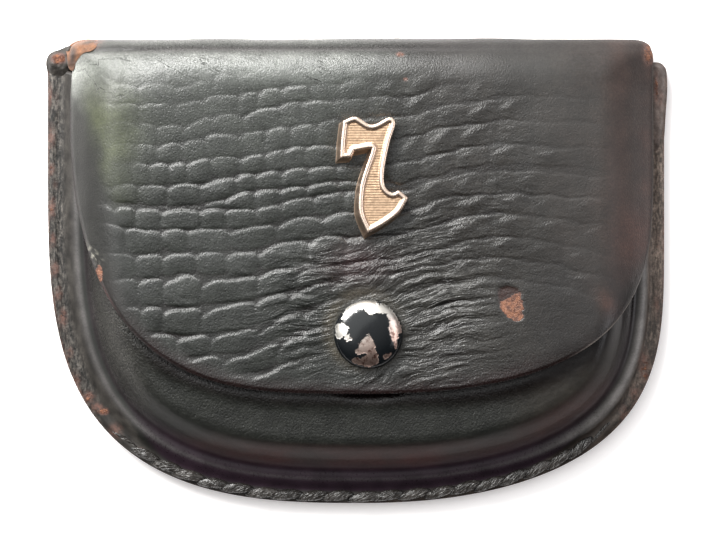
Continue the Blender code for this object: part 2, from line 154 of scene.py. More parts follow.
# Torn and rounded corners: outlines, walked clockwise
STUB = ((-55, 35.6), (-55.2, 37.3), (-54.7, 38.6), (-53.8, 39.2), (-52.8, 39.5), (-51.7, 40),
        (-50.6, 40), (-50.3, 37.7), (-50.5, 34.9), (-52.8, 33.4), (-54.7, 33.8))
FLAKE = ((-51.7, 39.6), (-51, 40.4), (-49.9, 41), (-48.5, 41.3), (-47, 41.3), (-46.2, 41),
         (-46.4, 40.3), (-45.8, 39.9), (-46.7, 39), (-48, 38.7), (-48.9, 38), (-49.6, 37),
         (-50.1, 35.6), (-51, 36.2), (-51.3, 38.4))
TAB = ((51.7, 36.2), (52.2, 37.1), (53.9, 37.2), (54.9, 36.6), (55.35, 35.6), (55.5, 33.2),
       (55.4, 30.6), (55.2, 27.9), (55, 24.5), (54.6, 20), (53.4, 19), (51.7, 22), (51.7, 30))

# The torn spot in the flap: bare hide, and the dark wedge above it
TORN = np.array(((28.8, -3.6), (29.5, -5.8), (29.2, -8.2), (28.1, -8.8), (26.9, -8.2),
                 (25.5, -6.8), (25.1, -5.2), (26.2, -4.9), (27.3, -4.1), (28, -3.9)))
WEDGE = np.array(((25, -5.5), (25.1, -2.8), (27, -2.5), (28.3, -2.8), (29, -3.9), (28.4, -5.4),
                  (26.6, -6.2)))

# Chips in the cap's enamel, as outlines in hundredths of its radius
CHIPS = (
    ((-78, 46), (-67, 76), (-42, 94), (-10, 100), (0, 105), (20, 105), (21, 94), (30, 86),
     (42, 90), (60, 80), (80, 55), (93, 26), (95, 8), (88, 2), (84, -20), (79, -42), (71, -19),
     (63, -5), (58, 19), (62, 40), (53, 48), (53, 58), (37, 63), (24, 62), (12, 58), (-5, 61),
     (-11, 73), (-25, 74), (-45, 62), (-60, 50), (-68, 43)),
    ((-78, 37), (-70, 33), (-58, 19), (-58, 12), (-64, 3), (-55, 2), (-52, -11), (-49, -14),
     (-62, -21), (-71, -12), (-72, -3), (-83, -16), (-95, -5), (-98, 22), (-88, 28)),
    ((-11, -5), (0, -2), (12, -9), (15, -26), (20, -37), (18, -49), (29, -58), (29, -75),
     (23, -87), (0, -94), (-28, -90), (-46, -78), (-50, -70), (-36, -68), (-22, -70),
     (-11, -64), (-4, -59), (-15, -54), (-25, -58), (-39, -54), (-41, -45), (-30, -40),
     (-27, -26), (-22, -21), (-15, -14)),
    ((41, -59), (67, -50), (58, -66), (49, -73)),
)

# Camera, floor and lamps; the last two are in metres, and power is in watts
LENS = 200
SENSOR = 36
FRAME_WIDTH = 126.8
VIEW_CENTRE = (0.45, 0.8)
VIEW_LEVEL = 8
HALF_FLOOR = 3
BRIGHT_SIDE = (-0.35, 0.75, 0.6)
LAMPS = {
    "window": ((-0.13, 0.19, 0.19), (0.27, 0.1), 2.3, (1, 0.99, 0.97)),
    "ceiling": ((-0.13, 0.12, 0.36), (0.36, 0.3), 0.5, (0.96, 1, 0.99)),
    "side": ((0.3, 0.02, 0.26), (0.3, 0.16), 0.45, (0.97, 0.97, 1)),
}

# Embossing on the flap: the grooves above each row of scales at these places across,
# and the places of the grooves between the scales of a row
ROW_PLACES = (-45.6, -36.7, -29.6, -25.1, -18.9, -10, -2.9, 7.8, 16.8, 25.7, 36.4, 50.6)
ROWS = (
    (33.1, 32.7, 32.7, 34.5, 34.5, 35.9, 36.3, 37.2, 38.4, 39.5, 39.5, 39.5),
    (29.9, 29.5, 29.3, 31.1, 31.3, 33.1, 33.4, 34.1, 36.1, 37.5, 37.2, 36.6),
    (26.3, 26.1, 25.6, 27.5, 27.9, 30, 30.4, 30.6, 32.7, 34.3, 34, 33.2),
    (22.5, 22.4, 22.7, 24, 24.5, 25.6, 27, 27, 29.3, 30.9, 30.4, 29.7),
    (19, 19, 19.3, 20.1, 20.4, 22, 22.5, 23.4, 25.4, 26.8, 26.3, 25.6),
    (15.2, 15.4, 15.6, 16.1, 16.8, 18.6, 18.6, 19, 21.3, 22.4, 22, 21.3),
    (12.2, 11.7, 11.7, 12.4, 14, 15.1, 15.8, 15.2, 17.7, 18.6, 18.1, 17.4),
    (11.7, 11.1, 11, 11.1, 10.8, 12.7, 14, 14, 16.8, 17.7, 17.2, 16.7),
    (9, 7.2, 7.6, 7.4, 7.4, 9.2, 10.1, 10.1, 13.1, 13.8, 13.1, 12.6),
    (3.8, 2.9, 3.5, 3.3, 3.7, 5.8, 6.5, 6.1, 9, 10.2, 8.8, 7.6),
    (-1.2, -1.3, -0.6, -0.6, -0.4, 0.8, 1.5, 1.9, 4.7, 6.3, 4.5, 1.7),
    (-5.8, -6, -6, -5.6, -5.1, -2.9, -1, -0.6, 1.7, 2.8, 1, -2.4),
    (-10.4, -10.8, -11, -10.8, -9.5, -7, -4.5, -3.7, -1.7, -0.8, -2.9, -6),
    (-14.7, -15.1, -15.1, -14.7, -13.5, -11, -8.3, -7.9, -5.6, -5.1, -6.9, -9.5),
    (-19, -19.3, -19, -18.6, -17.6, -15.4, -12.9, -11.9, -9.5, -9, -10.8, -13.1),
    (-23.3, -23.6, -23.3, -22.9, -21.8, -19.7, -17.6, -16.1, -14, -13.3, -15.1, -17.2),
)
SCALE_ENDS = (
    (-38.3, -31.7, -25.3, -20.7, -16.8, -11.8, -6.4, -1.1, 4.3, 9.6, 15, 20.3, 25.7, 31, 36.4),
    (-42.4, -38.3, -31.7, -26.7, -20.7, -17.1, -13, -7.8, -2.9, 2.9, 8.7, 14.3, 19.6, 25.3, 31),
    (-38.5, -35.3, -30.3, -25.3, -19.4, -13, -9.3, -3.6, 2.5, 8, 13.7, 18.9, 24.8, 30.1, 35.7),
    (-38.9, -34.9, -30.8, -26.2, -20.5, -15.9, -11.6, -6.8, -2.5, 3.6, 9.3, 14.4, 19.4, 24.8, 31),
    (-39.6, -36, -33, -29.8, -25.3, -20.1, -15.9, -12.1, -8.7, -3.4, 2.1, 7.5, 12.3, 18.5, 24.8),
    (-42.8, -38.3, -33.3, -27.1, -20.7, -17.3, -13.2, -8.4, -3.9, 1.1, 6.4, 11.4, 17.3, 23.5, 30.7),
    (-32.4, -27.1, -22.5, -17.6, -13.2, -8.6, -3.2, 1.8, 7.5, 13.2, 18.9, 25, 31),
    (-42.1, -38.7, -33.9, -27.3, -22.6, -17.5, -13.2, -7.1, -2.1, 3.9, 10.3, 16.4, 21.9, 28.2, 34.2),
    (-40.3, -34, -29.6, -21.7, -13.7, -5.5, 0.4, 8.6, 17.1, 24.2, 31, 37.4, 43.5),
    (-38.9, -34, -28, -22.6, -16.8, -8.2, -2, 3.6, 9.3, 16.8, 23.9, 31, 39),
    (-38.5, -34, -27.3, -16.8, -10, -2.5, 5.7, 11.4, 17.5, 22.5, 29.2, 36.4, 43.5),
    (-38, -34.2, -27.1, -17.6, -11.8, -4.6, 5.7, 15.5, 22.1, 29.2, 37.3),
    (-31.7, -25.5, -17.5, -9.1, -1.1, 7.8, 16.8, 25.7, 34.6),
    (-33.2, -23.4, -13.5, -4.6, 6.1, 15, 23.9, 32.8),
    (-27.8, -18.9, -10, -1.1, 7.8, 16.8, 25.7),
)


def smooth(value, start, end):
    """Go smoothly from 0 at start to 1 at end; the end may lie below the start."""
    share = np.clip((value - start) / (end - start), 0, 1)
    return share * share * (3 - 2 * share)


def scatter(value):
    """A steady random number between -1 and 1 for each value."""
    mixed = np.sin(value) * 43758.5453
    return 2 * (mixed - np.floor(mixed)) - 1


def noise(x, y, wide, high, seed):
    """Smooth random values between -1 and 1, whose features have this width and height."""
    x, y = x / wide, y / high
    column, row = np.floor(x), np.floor(y)
    along, down = smooth(x - column, 0, 1), smooth(y - row, 0, 1)

    def corner(i, j):
        return scatter((column + i) * 127.1 + (row + j) * 311.7 + seed * 74.7)

    upper = corner(0, 0) * (1 - along) + corner(1, 0) * along
    lower = corner(0, 1) * (1 - along) + corner(1, 1) * along
    return upper * (1 - down) + lower * down


def pebbles(x, y, seed):
    """The rounded grain of the leather."""
    return 0.6 * noise(x, y, 0.6, 0.5, seed) + 0.4 * noise(x, y, 1, 0.9, seed + 1)


def bell(value, middle, reach):
    """1 in the middle, fading to 0 on both sides."""
    return np.exp(-((value - middle) / reach) ** 2)


def blob(x, y, middle_x, middle_y, reach_x, reach_y, strength=1):
    """This strength in the middle of an ellipse, fading to 0 outside it."""
    return strength * bell(x, middle_x, reach_x) * bell(y, middle_y, reach_y)


def blobs(x, y, *rows):
    """Several blobs, added up."""
    return sum(blob(x, y, *row) for row in rows)


def unit(vectors):
    """The same directions with a length of 1."""
    return vectors / np.linalg.norm(vectors, axis=-1, keepdims=True)


def hermite(t, start, end, leave, arrive):
    """A cubic curve from start to end with these slopes at its ends."""
    return ((2 * t**3 - 3 * t**2 + 1) * start + (3 * t**2 - 2 * t**3) * end
            + (t**3 - 2 * t**2 + t) * leave + (t**3 - t**2) * arrive)


def trace(outline, top=None):
    """Walk a D outline from its top left corner round the bottom to its top right."""
    angle = np.linspace(0, math.pi / 2, TRACE_STEPS)
    halves = []
    for side, sign in ((outline.left, -1), (outline.right, 1)):
        drop = side.shoulder - outline.bottom
        x = outline.middle + sign * side.reach * np.cos(angle).clip(0) ** (2 / side.across_power)
        y = side.shoulder - drop * np.sin(angle) ** (2 / side.down_power)
        straight = np.linspace(outline.top if top is None else top, side.shoulder,
                               STRAIGHT_STEPS, endpoint=False)
        halves.append(np.column_stack((np.append(np.full(STRAIGHT_STEPS, x[0]), x),
                                       np.append(straight, y))))
    return np.vstack((halves[0], halves[1][-2::-1]))


def lengths_along(path):
    """Distance travelled at each point of a path."""
    return np.append(0, np.cumsum(np.linalg.norm(np.diff(path, axis=0), axis=1)))


def read_columns(places, known, table):
    """Interpolate each column of a table."""
    return np.column_stack([np.interp(places, known, column) for column in table.T])


def resample(path, shares):
    """Points at the given shares of a path's length."""
    travelled = lengths_along(path)
    return read_columns(shares * travelled[-1], travelled, path)


def long_path(outline):
    """Even points along an outline that runs on past the fold."""
    return resample(trace(outline, 2 * FOLD_TOP), np.linspace(0, 1, 4 * TRACE_STEPS))


FORM_PATH = long_path(BODY) + (FORM_SHIFT, 0)
FLAP_PATH = long_path(FLAP)


def split_outline(path):
    """Cut a D path where it turns past 45 degrees: left side, bottom, right side."""
    step = np.abs(np.diff(path, axis=0))
    flatter = np.nonzero(step[:, 0] > step[:, 1])[0]
    first, last = flatter[0], flatter[-1] + 1
    return path[:first + 1], path[first:last + 1], path[last:]


def coons(top, left, bottom, right, across):
    """Fill the four sides of a patch with a grid; rows run from the top to the bottom."""
    u = across[None, :, None]
    v = np.linspace(0, 1, len(left))[:, None, None]
    rules = (1 - v) * top + v * bottom
    rails = (1 - u) * left[:, None] + u * right[:, None]
    corners = ((1 - u) * (1 - v) * top[0] + u * (1 - v) * top[-1]
               + (1 - u) * v * bottom[0] + u * v * bottom[-1])
    return rules + rails - corners


def fill_outline(top, left, bottom, right, across, rows):
    """Fill the parts of a split outline with a grid below its top row."""
    down = np.linspace(0, 1, rows + 1)
    return coons(top, resample(left, down), resample(bottom, across),
                 resample(right[::-1], down), across)


def distance_to(path, points):
    """Distance from each point to the nearest point of a path."""
    tree = kdtree.KDTree(len(path))
    for index, (x, y) in enumerate(path):
        tree.insert((x, y, 0), index)
    tree.balance()
    nearest = [tree.find((x, y, 0))[2] for x, y in points.reshape(-1, 2)]
    return np.array(nearest).reshape(points.shape[:-1])


def from_snap(x, y):
    """Distance from the snap's middle."""
    return np.hypot(x - SNAP_CENTRE[0], y - SNAP_CENTRE[1])


def through(inset, heights, places=INSET):
    """A smooth curve through a section's heights."""
    slope = np.gradient(heights, places)
    slope[0] = slope[-1] = 0
    inset = np.clip(inset, places[0], places[-1])
    span = np.clip(np.searchsorted(places, inset, side="right") - 1, 0, len(places) - 2)
    width = places[span + 1] - places[span]
    return hermite((inset - places[span]) / width, heights[span], heights[span + 1],
                   slope[span] * width, slope[span + 1] * width)


def crown(points, inset):
    """Gentle bulge of the filled pocket, which the flap above it follows."""
    off = (points - CROWN_CENTRE) / CROWN_REACH
    return CROWN_HEIGHT * (1 - off * off).clip(0).prod(axis=-1) * smooth(inset, *CROWN_INSETS)


def dimple(points):
    """1 under the snap, fading to 0 at the dimple's edge."""
    return smooth(from_snap(points[..., 0], points[..., 1]), DIMPLE_RADIUS, DIMPLE_FLAT_RADIUS)


def pocket_heights(points, inset):
    """Outer and inner height of the pocket's leather."""
    shared = crown(points, inset) - POCKET_DIMPLE * dimple(points)
    return through(inset, POCKET_OUTSIDE) + shared, through(inset, POCKET_INSIDE) + shared


def flap_height(points):
    """Outer height of the flap."""
    inset = distance_to(FORM_PATH, points)
    return through(inset, FLAP_OUTSIDE) + crown(points, inset) - FLAP_DIMPLE * dimple(points)


def grid_faces(ids):
    """Quads of a grid of point numbers, facing along row step x column step."""
    corners = (ids[:-1, :-1], ids[1:, :-1], ids[1:, 1:], ids[:-1, 1:])
    return np.stack(corners, axis=-1).reshape(-1, 4).tolist()


def closed(grid):
    """A grid whose first column is repeated as its last."""
    return np.concatenate((grid, grid[:, :1]), axis=1)


def turned_faces(ids):
    """Faces of a turned grid, closed at both ends."""
    return grid_faces(closed(ids)) + [ids[0].tolist(), ids[-1][::-1].tolist()]


def grid_normals(grid):
    """Unit normals of a grid of points whose rows run down and columns to the right."""
    return unit(np.cross(np.gradient(grid, axis=0), np.gradient(grid, axis=1)))


def new_object(name, data):
    """Put an object into the scene."""
    item = bpy.data.objects.new(name, data)
    bpy.context.scene.collection.objects.link(item)
    return item


class Form:
    """Points and faces of a piece, gathered from several grids."""

    def __init__(self):
        self.points = np.zeros((0, 3))
        self.faces = []

    def add(self, grid):
        """Keep a grid's points and return their numbers in the same layout."""
        grid = np.asarray(grid)
        ids = len(self.points) + np.arange(grid[..., 0].size).reshape(grid.shape[:-1])
        self.points = np.vstack((self.points, grid.reshape(-1, 3)))
        return ids

    def cover(self, grids, seams):
        """Add the quads of grids, and faces between fine and coarse lines side by side."""
        for ids in grids:
            self.faces += grid_faces(ids)
        for fine, coarse in seams:
            step = (len(fine) - 1) // (len(coarse) - 1)
            self.faces += [[*fine[step * i:step * i + step + 1], coarse[i + 1], coarse[i]]
                           for i in range(len(coarse) - 1)]

    def drop_unused(self):
        """Leave out the points that no face uses; return the numbers of the others."""
        used = np.unique(np.concatenate(self.faces))
        number = np.full(len(self.points), -1)
        number[used] = np.arange(len(used))
        self.points = self.points[used]
        self.faces = [number[face].tolist() for face in self.faces]
        return used

    def make(self, name, material, slot, **values):
        """Make a piece that rides on the wallet, with numbers or colours for its material."""
        mesh = bpy.data.meshes.new(name)
        mesh.from_pydata((self.points * MM).tolist(), [], self.faces)
        mesh.validate()
        mesh.materials.append(material)
        mesh.shade_smooth()
        for key, value in values.items():
            value = np.asarray(value, float)
            if value.ndim == 2:
                layer = mesh.attributes.new(key, "FLOAT_COLOR", "POINT")
                value = np.column_stack((value, np.ones(len(value))))
                layer.data.foreach_set("color", value.ravel())
            else:
                layer = mesh.attributes.new(key, "FLOAT", "POINT")
                layer.data.foreach_set("value", np.broadcast_to(value, len(self.points)).ravel())
        piece = new_object(name, mesh)
        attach(piece, "root")
        return piece


class Tone:
    """The colour of a leather at each of its points, laid on in layers."""

    def __init__(self, color, count):
        self.color = np.tile(color, (count, 1))

    def lay(self, color, share):
        share = np.clip(share, 0, 1)[:, None]
        self.color = self.color * (1 - share) + np.asarray(color) * share


def row_position(x, y):
    """Which row of scales a place lies in, with its distances to the row's two grooves."""
    lines = np.array([np.interp(x, ROW_PLACES, row) for row in ROWS])
    row = np.clip(np.sum(lines > y, axis=0) - 1, 0, len(ROWS) - 2)
    above, below = (lines[number, np.arange(len(x))] for number in (row, row + 1))
    return row, above - y, y - below


def scale_position(x, row):
    """Which scale of its row a place lies in, with its distances to the scale's two ends."""
    index, from_left, from_right = np.zeros((3, len(x)))
    for number, ends in enumerate(SCALE_ENDS):
        here = row == number
        ends = np.array((-60, ends[0] - 5.5 - 0.8 * math.sin(5 * number), *ends, ends[-1] + 6.5, 60))
        span = np.clip(np.searchsorted(ends, x[here]) - 1, 0, len(ends) - 2)
        from_left[here] = x[here] - ends[span]
        from_right[here] = ends[span + 1] - x[here]
        index[here] = span
    return index, from_left, from_right


def scale_relief(x, y):
    """Height of the embossing, from 0 to about 1, place down the rows, and ridges."""
    x = x + 0.45 * noise(x, y, 4, 3, 3) + 0.14 * noise(x, y, 1.3, 1.3, 4)
    y = y + 0.4 * noise(x, y, 5, 3, 5) + 0.14 * noise(x, y, 1.6, 1.4, 6)
    row, from_top, from_bottom = row_position(x, y)
    index, from_left, from_right = scale_position(x, row)

    def vary(seed):
        return scatter(row * 12.9898 + index * 78.233 + seed * 37.719)

    pitch = np.maximum(from_top + from_bottom, 0.05)
    length = from_left + from_right
    along = from_left / length
    across = np.abs(2 * along - 1)
    flat = smooth(x, -6, 8)
    lobed = 1 - flat
    rounded = from_top - lobed * across ** 4 - 0.4 * flat * across ** 2
    rounded -= 0.14 * smooth(y, 6, -3) * lobed * length * (1 - along)
    edge = smooth(rounded, -0.08, 0.4) * smooth(from_bottom - 0.6 * flat * across ** 2, -0.12, 0.3)
    seam = 1 - (0.36 + 0.1 * lobed) * bell(np.minimum(from_left, from_right), 0, 0.3)
    down = np.clip(from_top / pitch, 0, 1)
    body = 1 - 0.3 * ((0.35 - down) / 0.35).clip(0) ** 2
    body -= (0.68 + 0.15 * vary(1)) * ((down - 0.35) / 0.65).clip(0) ** 1.7
    body -= 0.35 * (1 - np.sin(math.pi * along.clip(0, 1)))
    ramp = from_top - 1.5 + 2 * along
    place = bell(along, 0.4 + 0.1 * vary(3), 0.25) * (0.75 + 0.5 * vary(4))
    pad = smooth(ramp, -0.2, 0.7) * place * (1 - 0.75 * smooth(down, 0.35, 1))
    body = body * lobed + (0.46 - 0.12 * down + 0.78 * pad) * flat
    uneven = 0.08 * noise(x, y, 1.1, 0.9, 8) + 0.05 * noise(x, y, 0.6, 0.5, 9)
    height = edge * seam * (body + 0.2 * vary(2) + uneven)
    ridge = lobed * bell(rounded, 0.15, 0.3) + 2.4 * flat * place * bell(ramp, 0.35, 0.55)
    return height * smooth(pitch, 0.4, 2.4), row + from_top / pitch, ridge


def relief_strength(x, y, from_edge):
    """How deep the embossing is at each place: it is worn away at the left and top."""
    drift = 3 * noise(x, y, 6, 6, 7)
    left = smooth(x + drift, -46, -34)
    worn = smooth(y + 0.7 * drift - 0.15 * x, 16, 30) * (1 - 0.4 * smooth(x, 0, 12))
    top = (1 - 0.52 * worn) * smooth(y, 36.5, 31.5) * (0.85 + 0.35 * noise(x, y, 8, 5, 10))
    right = 1 - 0.1 * smooth(x, 0, 12) - 0.5 * smooth(x, 22, 34) - 0.3 * smooth(x, 36, 47)
    snap = 0.35 + 0.65 * smooth(from_snap(x, y), 7, 13)
    low = 1 - 0.8 * smooth(y, -11, -18) * smooth(x, -16, -4)
    low *= 1 - 0.85 * smooth(x, 16, 26) * smooth(y, 1, -9)
    return left * top * right * snap * low * smooth(from_edge, 0.8, 3.5)


def crease_zone(x, y):
    """Where the snap has pulled the leather into fine creases."""
    zone = blobs(x, y, (14, -8, 9, 7), (-8, -8, 8, 6.5, 0.75), (1, 1, 15, 4, 0.6),
                 (6, -17.5, 13, 3, 0.7), (13, 7, 8, 6, 0.35))
    around = np.hypot(x - SNAP_CENTRE[0], (y - SNAP_CENTRE[1]) * 1.1)
    return np.clip(zone, 0, 1) * smooth(around, 5.8, 7.5)


def crease_lines(x, y):
    """Distance across the creases that fan out from the snap."""
    beyond = x - SNAP_CENTRE[0]
    rise = np.where(beyond > 0, 6.5 * (1 - np.exp(-np.abs(beyond) / 12)),
                    -5 * (1 - np.exp(-np.abs(beyond) / 16)))
    return y - rise + noise(x, y, 6, 4, 22) + 0.3 * noise(x, y, 2.2, 1.5, 23)


def sag(x, y):
    """How far the leather has sunk beside the torn corner."""
    return 1.1 * smooth(y, 27, 40) * smooth(x, -30, -46)


def flap_damage(x, y):
    """Bareness of the torn spot and of the nick in the flap, and the dark wedge."""
    rough = 0.35 * noise(x, y, 0.8, 0.8, 61) + 0.2 * noise(x, y, 0.35, 0.35, 62)
    place = np.column_stack((x, y))
    torn = smooth(outline_distance(place, TORN) + 0.5 * rough, -0.05, 0.22)
    wedge = smooth(outline_distance(place, WEDGE) + 0.4 * rough, -0.15, 0.2)
    nick = smooth(blob(x, y, -45.2, -0.5, 0.75, 1.7) + 0.3 * rough, 0.35, 0.55)
    return torn, nick, wedge


def flap_surface(x, y):
    """Depth below the smooth flap, and the values that its leather's finish needs."""
    from_edge = distance_to(FLAP_PATH, np.column_stack((x, y)))
    height, place, ridge = scale_relief(x, y)
    strength = relief_strength(x, y, from_edge)
    zone = crease_zone(x, y)
    across = crease_lines(x, y)
    wave = noise(x, across, 9, 1.25, 24) + 0.35 * noise(x, across, 4.5, 0.62, 25)
    crease = (1 - 2 * np.abs(wave)).clip(-0.6, 1)
    warp = 0.5 * noise(x, y, 3, 3, 21)
    streak = (0.6 * noise(x / 4.5 + warp, place * 4 + warp, 1, 1, 11)
              + 0.4 * noise(x / 2.2, place * 8 + warp, 1, 1, 12))
    streak = (1 - np.abs(streak) * 2.4).clip(0, 1)
    depth = SCALE_DEPTH * (1 - height) * strength + CREASE_DEPTH * crease * zone
    depth += 0.05 * streak * strength * smooth(x, -36, 0) + 0.12 * noise(x, y, 8, 6, 33)
    depth += 0.025 * pebbles(x, y, 31) * (0.35 + 1.2 * bell(from_snap(x, y), 7.2, 1.3))
    depth += 0.22 * bell(y, FOLD_GROOVE, 0.6) * (1 - 0.6 * smooth(x, 0, 40))
    crinkle = noise(x, y, 0.9, 0.6, 34) + 0.5 * noise(x, y, 0.45, 0.35, 35)
    depth += 0.03 * crinkle * bell(y, 35.5, 5) * smooth(x, 24, 6)
    depth += 0.2 * smooth(from_edge, 0.7, 0) * (1 - 0.8 * smooth(x, 34, 42))
    torn, _, wedge = flap_damage(x, y)
    depth += 0.22 * np.maximum(torn, wedge)
    # Painted shade: how dark the tone is laid in the scales' grooves and in the creases
    groove_shade_and_dark_edge = np.maximum(smooth(height, 0.3, 0.02) * strength, 0.45 * zone * crease.clip(0))
    cracked = blobs(x, y, (-24, 35, 26, 3.8), (-44, 34, 7, 4.5), (-6.6, 34.7, 0.9, 3))
    smoother = 1 - smooth(x, -44, -36) * (1 - 0.3 * smooth(y, 30, 34))
    grain = (0.85 + 0.15 * zone) * (1 - 0.45 * smooth(x, 22, 38)) * (1 - 0.6 * smoother)
    return depth, {"groove_shade_and_dark_edge": groove_shade_and_dark_edge, "crease": zone, "across": across, "cracked": cracked,
                   "ridge": ridge * strength, "grain": grain}


def fold_rows(x):
    """Across the fold: its outermost line, how far it reaches above, and its height."""
    from_end = np.minimum(x - x[0], x[-1] - x)
    corner = 1 - np.clip(from_end / FOLD_CORNER_LENGTH, 0, 1)
    outermost = FOLD_TOP - FOLD_CORNER_DROP * (1 - np.sqrt(1 - corner * corner))
    middle = smooth(from_end, 0, FOLD_END_BLEND)
    above = FOLD_REACH_ENDS + (FOLD_REACH_MIDDLE - FOLD_REACH_ENDS) * middle
    return outermost, above, flap_height(np.column_stack((x, outermost - above)))


def fold_grid(x, turns):
    """Rows of points round the fold at the given angles, from -90 below to 90 above."""
    outermost, above, height = fold_rows(x)
    rows = []
    for turn in turns:
        reach = outermost - BODY.top if turn < 0 else above
        rows.append(np.column_stack((x, outermost - reach * (1 - math.cos(turn)),
                                     height * (1 + math.sin(turn)) / 2)))
    return np.array(rows)


def fold_height(x, y):
    """Height of the sheet's outer skin over the fold and the flap."""
    x = np.clip(x, *FLAP_ENDS)
    rows = fold_rows(np.array((FLAP_ENDS[0], *x, FLAP_ENDS[1])))
    outermost, above, height = (row[1:-1] for row in rows)
    share = np.clip(1 - (outermost - y) / above, 0, 1)
    curved = height * (1 + np.sqrt(1 - share * share)) / 2
    return np.where(y > outermost - above, curved, flap_height(np.column_stack((x, y))))


def flap_grid(across, x, rows):
    """Flap from the fold down to its round lower edge."""
    outermost, above, _ = fold_rows(x)
    top = np.column_stack((x, outermost - above))
    left, bottom, right = split_outline(trace(FLAP))
    left = np.vstack((top[:1], left[1:]))
    right = np.vstack((right[:-1], top[-1:]))
    plan = fill_outline(top, left, bottom, right, across, rows)
    return np.dstack((plan, flap_height(plan)))


def flap_normals(plan):
    """Unit normals of the smooth flap."""
    step = 0.2
    slopes = [(flap_height(plan - shift) - flap_height(plan + shift)) / (2 * step)
              for shift in step * np.eye(2)]
    return unit(np.dstack((*slopes, np.ones(plan.shape[:2]))))


def back_panel_grid(x):
    """Flat back, as wide as the seam; its top row passes through the fold's points."""
    left, bottom, right = split_outline(trace(BODY))
    left[0] += (SEAM_CORNER_CHAMFER, -SEAM_CORNER_CHAMFER)
    right[-1] -= SEAM_CORNER_CHAMFER
    steps = np.arange(1, NECK_COLUMNS) / NECK_COLUMNS
    top_x = np.concatenate((left[:1, 0], left[0, 0] + steps * (x[0] - left[0, 0]), x,
                            x[-1] + steps * (right[-1, 0] - x[-1]), right[-1:, 0]))
    top = np.column_stack((top_x, np.full(len(top_x), BODY.top)))
    top[0], top[-1] = left[0], right[-1]
    across = (top_x - top_x[0]) / (top_x[-1] - top_x[0])
    plan = fill_outline(top, left, bottom, right, across, BACK_ROWS)
    return np.dstack((plan, np.zeros(plan.shape[:2])))


def free_edge(ids, neck):
    """Round the back panel's free edge, from one end of the fold to the other."""
    return [*ids[0, neck.start::-1], *ids[1:, 0], *ids[-1, 1:],
            *ids[-2::-1, -1], *ids[0, -2:neck.stop - 2:-1]]


def build_sheet(material):
    """One sheet of leather: flat back, fold and embossed flap."""
    share = np.linspace(0, 1, SHEET_COLUMNS * FINE + 1)
    across = (1 - EDGE_PULL) * share + EDGE_PULL * (1 - np.cos(math.pi * share)) / 2
    x = FLAP_ENDS[0] + (FLAP_ENDS[1] - FLAP_ENDS[0]) * across
    fold = fold_grid(x, np.linspace(0, math.pi / 2, FOLD_ROWS * FINE + 1)[:-1])
    fine = np.concatenate((fold, flap_grid(across, x, FLAP_ROWS * FINE)))
    normals = grid_normals(fine)
    flap = len(fold) + 3
    normals[flap:] = flap_normals(fine[flap:, :, :2])
    depth, surface = flap_surface(fine[..., 0].ravel(), fine[..., 1].ravel())
    sunk = (sag(fine[..., 0], fine[..., 1]) * normals[..., 2].clip(0))[..., None] * normals
    skin = fine - depth.reshape(fine.shape[:2])[..., None] * normals - sunk
    inside = (fine - SHEET_THICKNESS * normals - sunk)[::FINE, ::FINE]
    x = x[::FINE]
    half = fold_grid(x, np.linspace(-math.pi / 2, 0, FOLD_ROWS + 1))
    half_in = half - SHEET_THICKNESS * grid_normals(half)
    back = back_panel_grid(x)

    form = Form()
    skin, inside, back, back_in, lower, lower_in = map(form.add, (
        skin, inside, back, back + (0, 0, SHEET_THICKNESS), half[1:-1], half_in[1:-1]))
    neck = slice(NECK_COLUMNS, NECK_COLUMNS + len(x))
    outer = np.vstack((back[:1, neck], lower))
    inner = np.vstack((back_in[:1, neck], lower_in, inside[:1]))
    form.cover(
        (skin, inside[:, ::-1], back[:, ::-1], back_in, outer, inner[:, ::-1]),
        ((skin[0], outer[-1]), (skin[::-1, 0], inside[::-1, 0]), (skin[:, -1], inside[:, -1]),
         (skin[-1, ::-1], inside[-1, ::-1]),
         (np.append(outer[:, 0], skin[0, 0])[::-1], inner[::-1, 0]),
         (np.append(outer[:, -1], skin[0, -1]), inner[:, -1]),
         (free_edge(back, neck), free_edge(back_in, neck))))
    masks = {name: np.zeros(len(form.points)) for name in (*surface, "bare", "on_flap")}
    for name, values in surface.items():
        masks[name][skin] = values.reshape(skin.shape)
    masks["on_flap"][skin] = 1
    masks["bare"][inside[:-1, 1:-1]] = 0.25
    # The sheet's cut edges take the same dark tone as the grooves' painted shade
    for line in (inside[-1], inside[:, 0], inside[:, -1]):
        masks["on_flap"][line] = masks["groove_shade_and_dark_edge"][line] = 1
    tone, wear, shine = flap_finish(*form.points[:, :2].T, masks)
    piece = form.make("back_and_flap_leather", material, "embossed_leather", tone=tone,
                      wear=wear, shine=shine,
                      **{name: masks[name] for name in surface if name != "groove_shade_and_dark_edge"})
    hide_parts("back_and_flap")


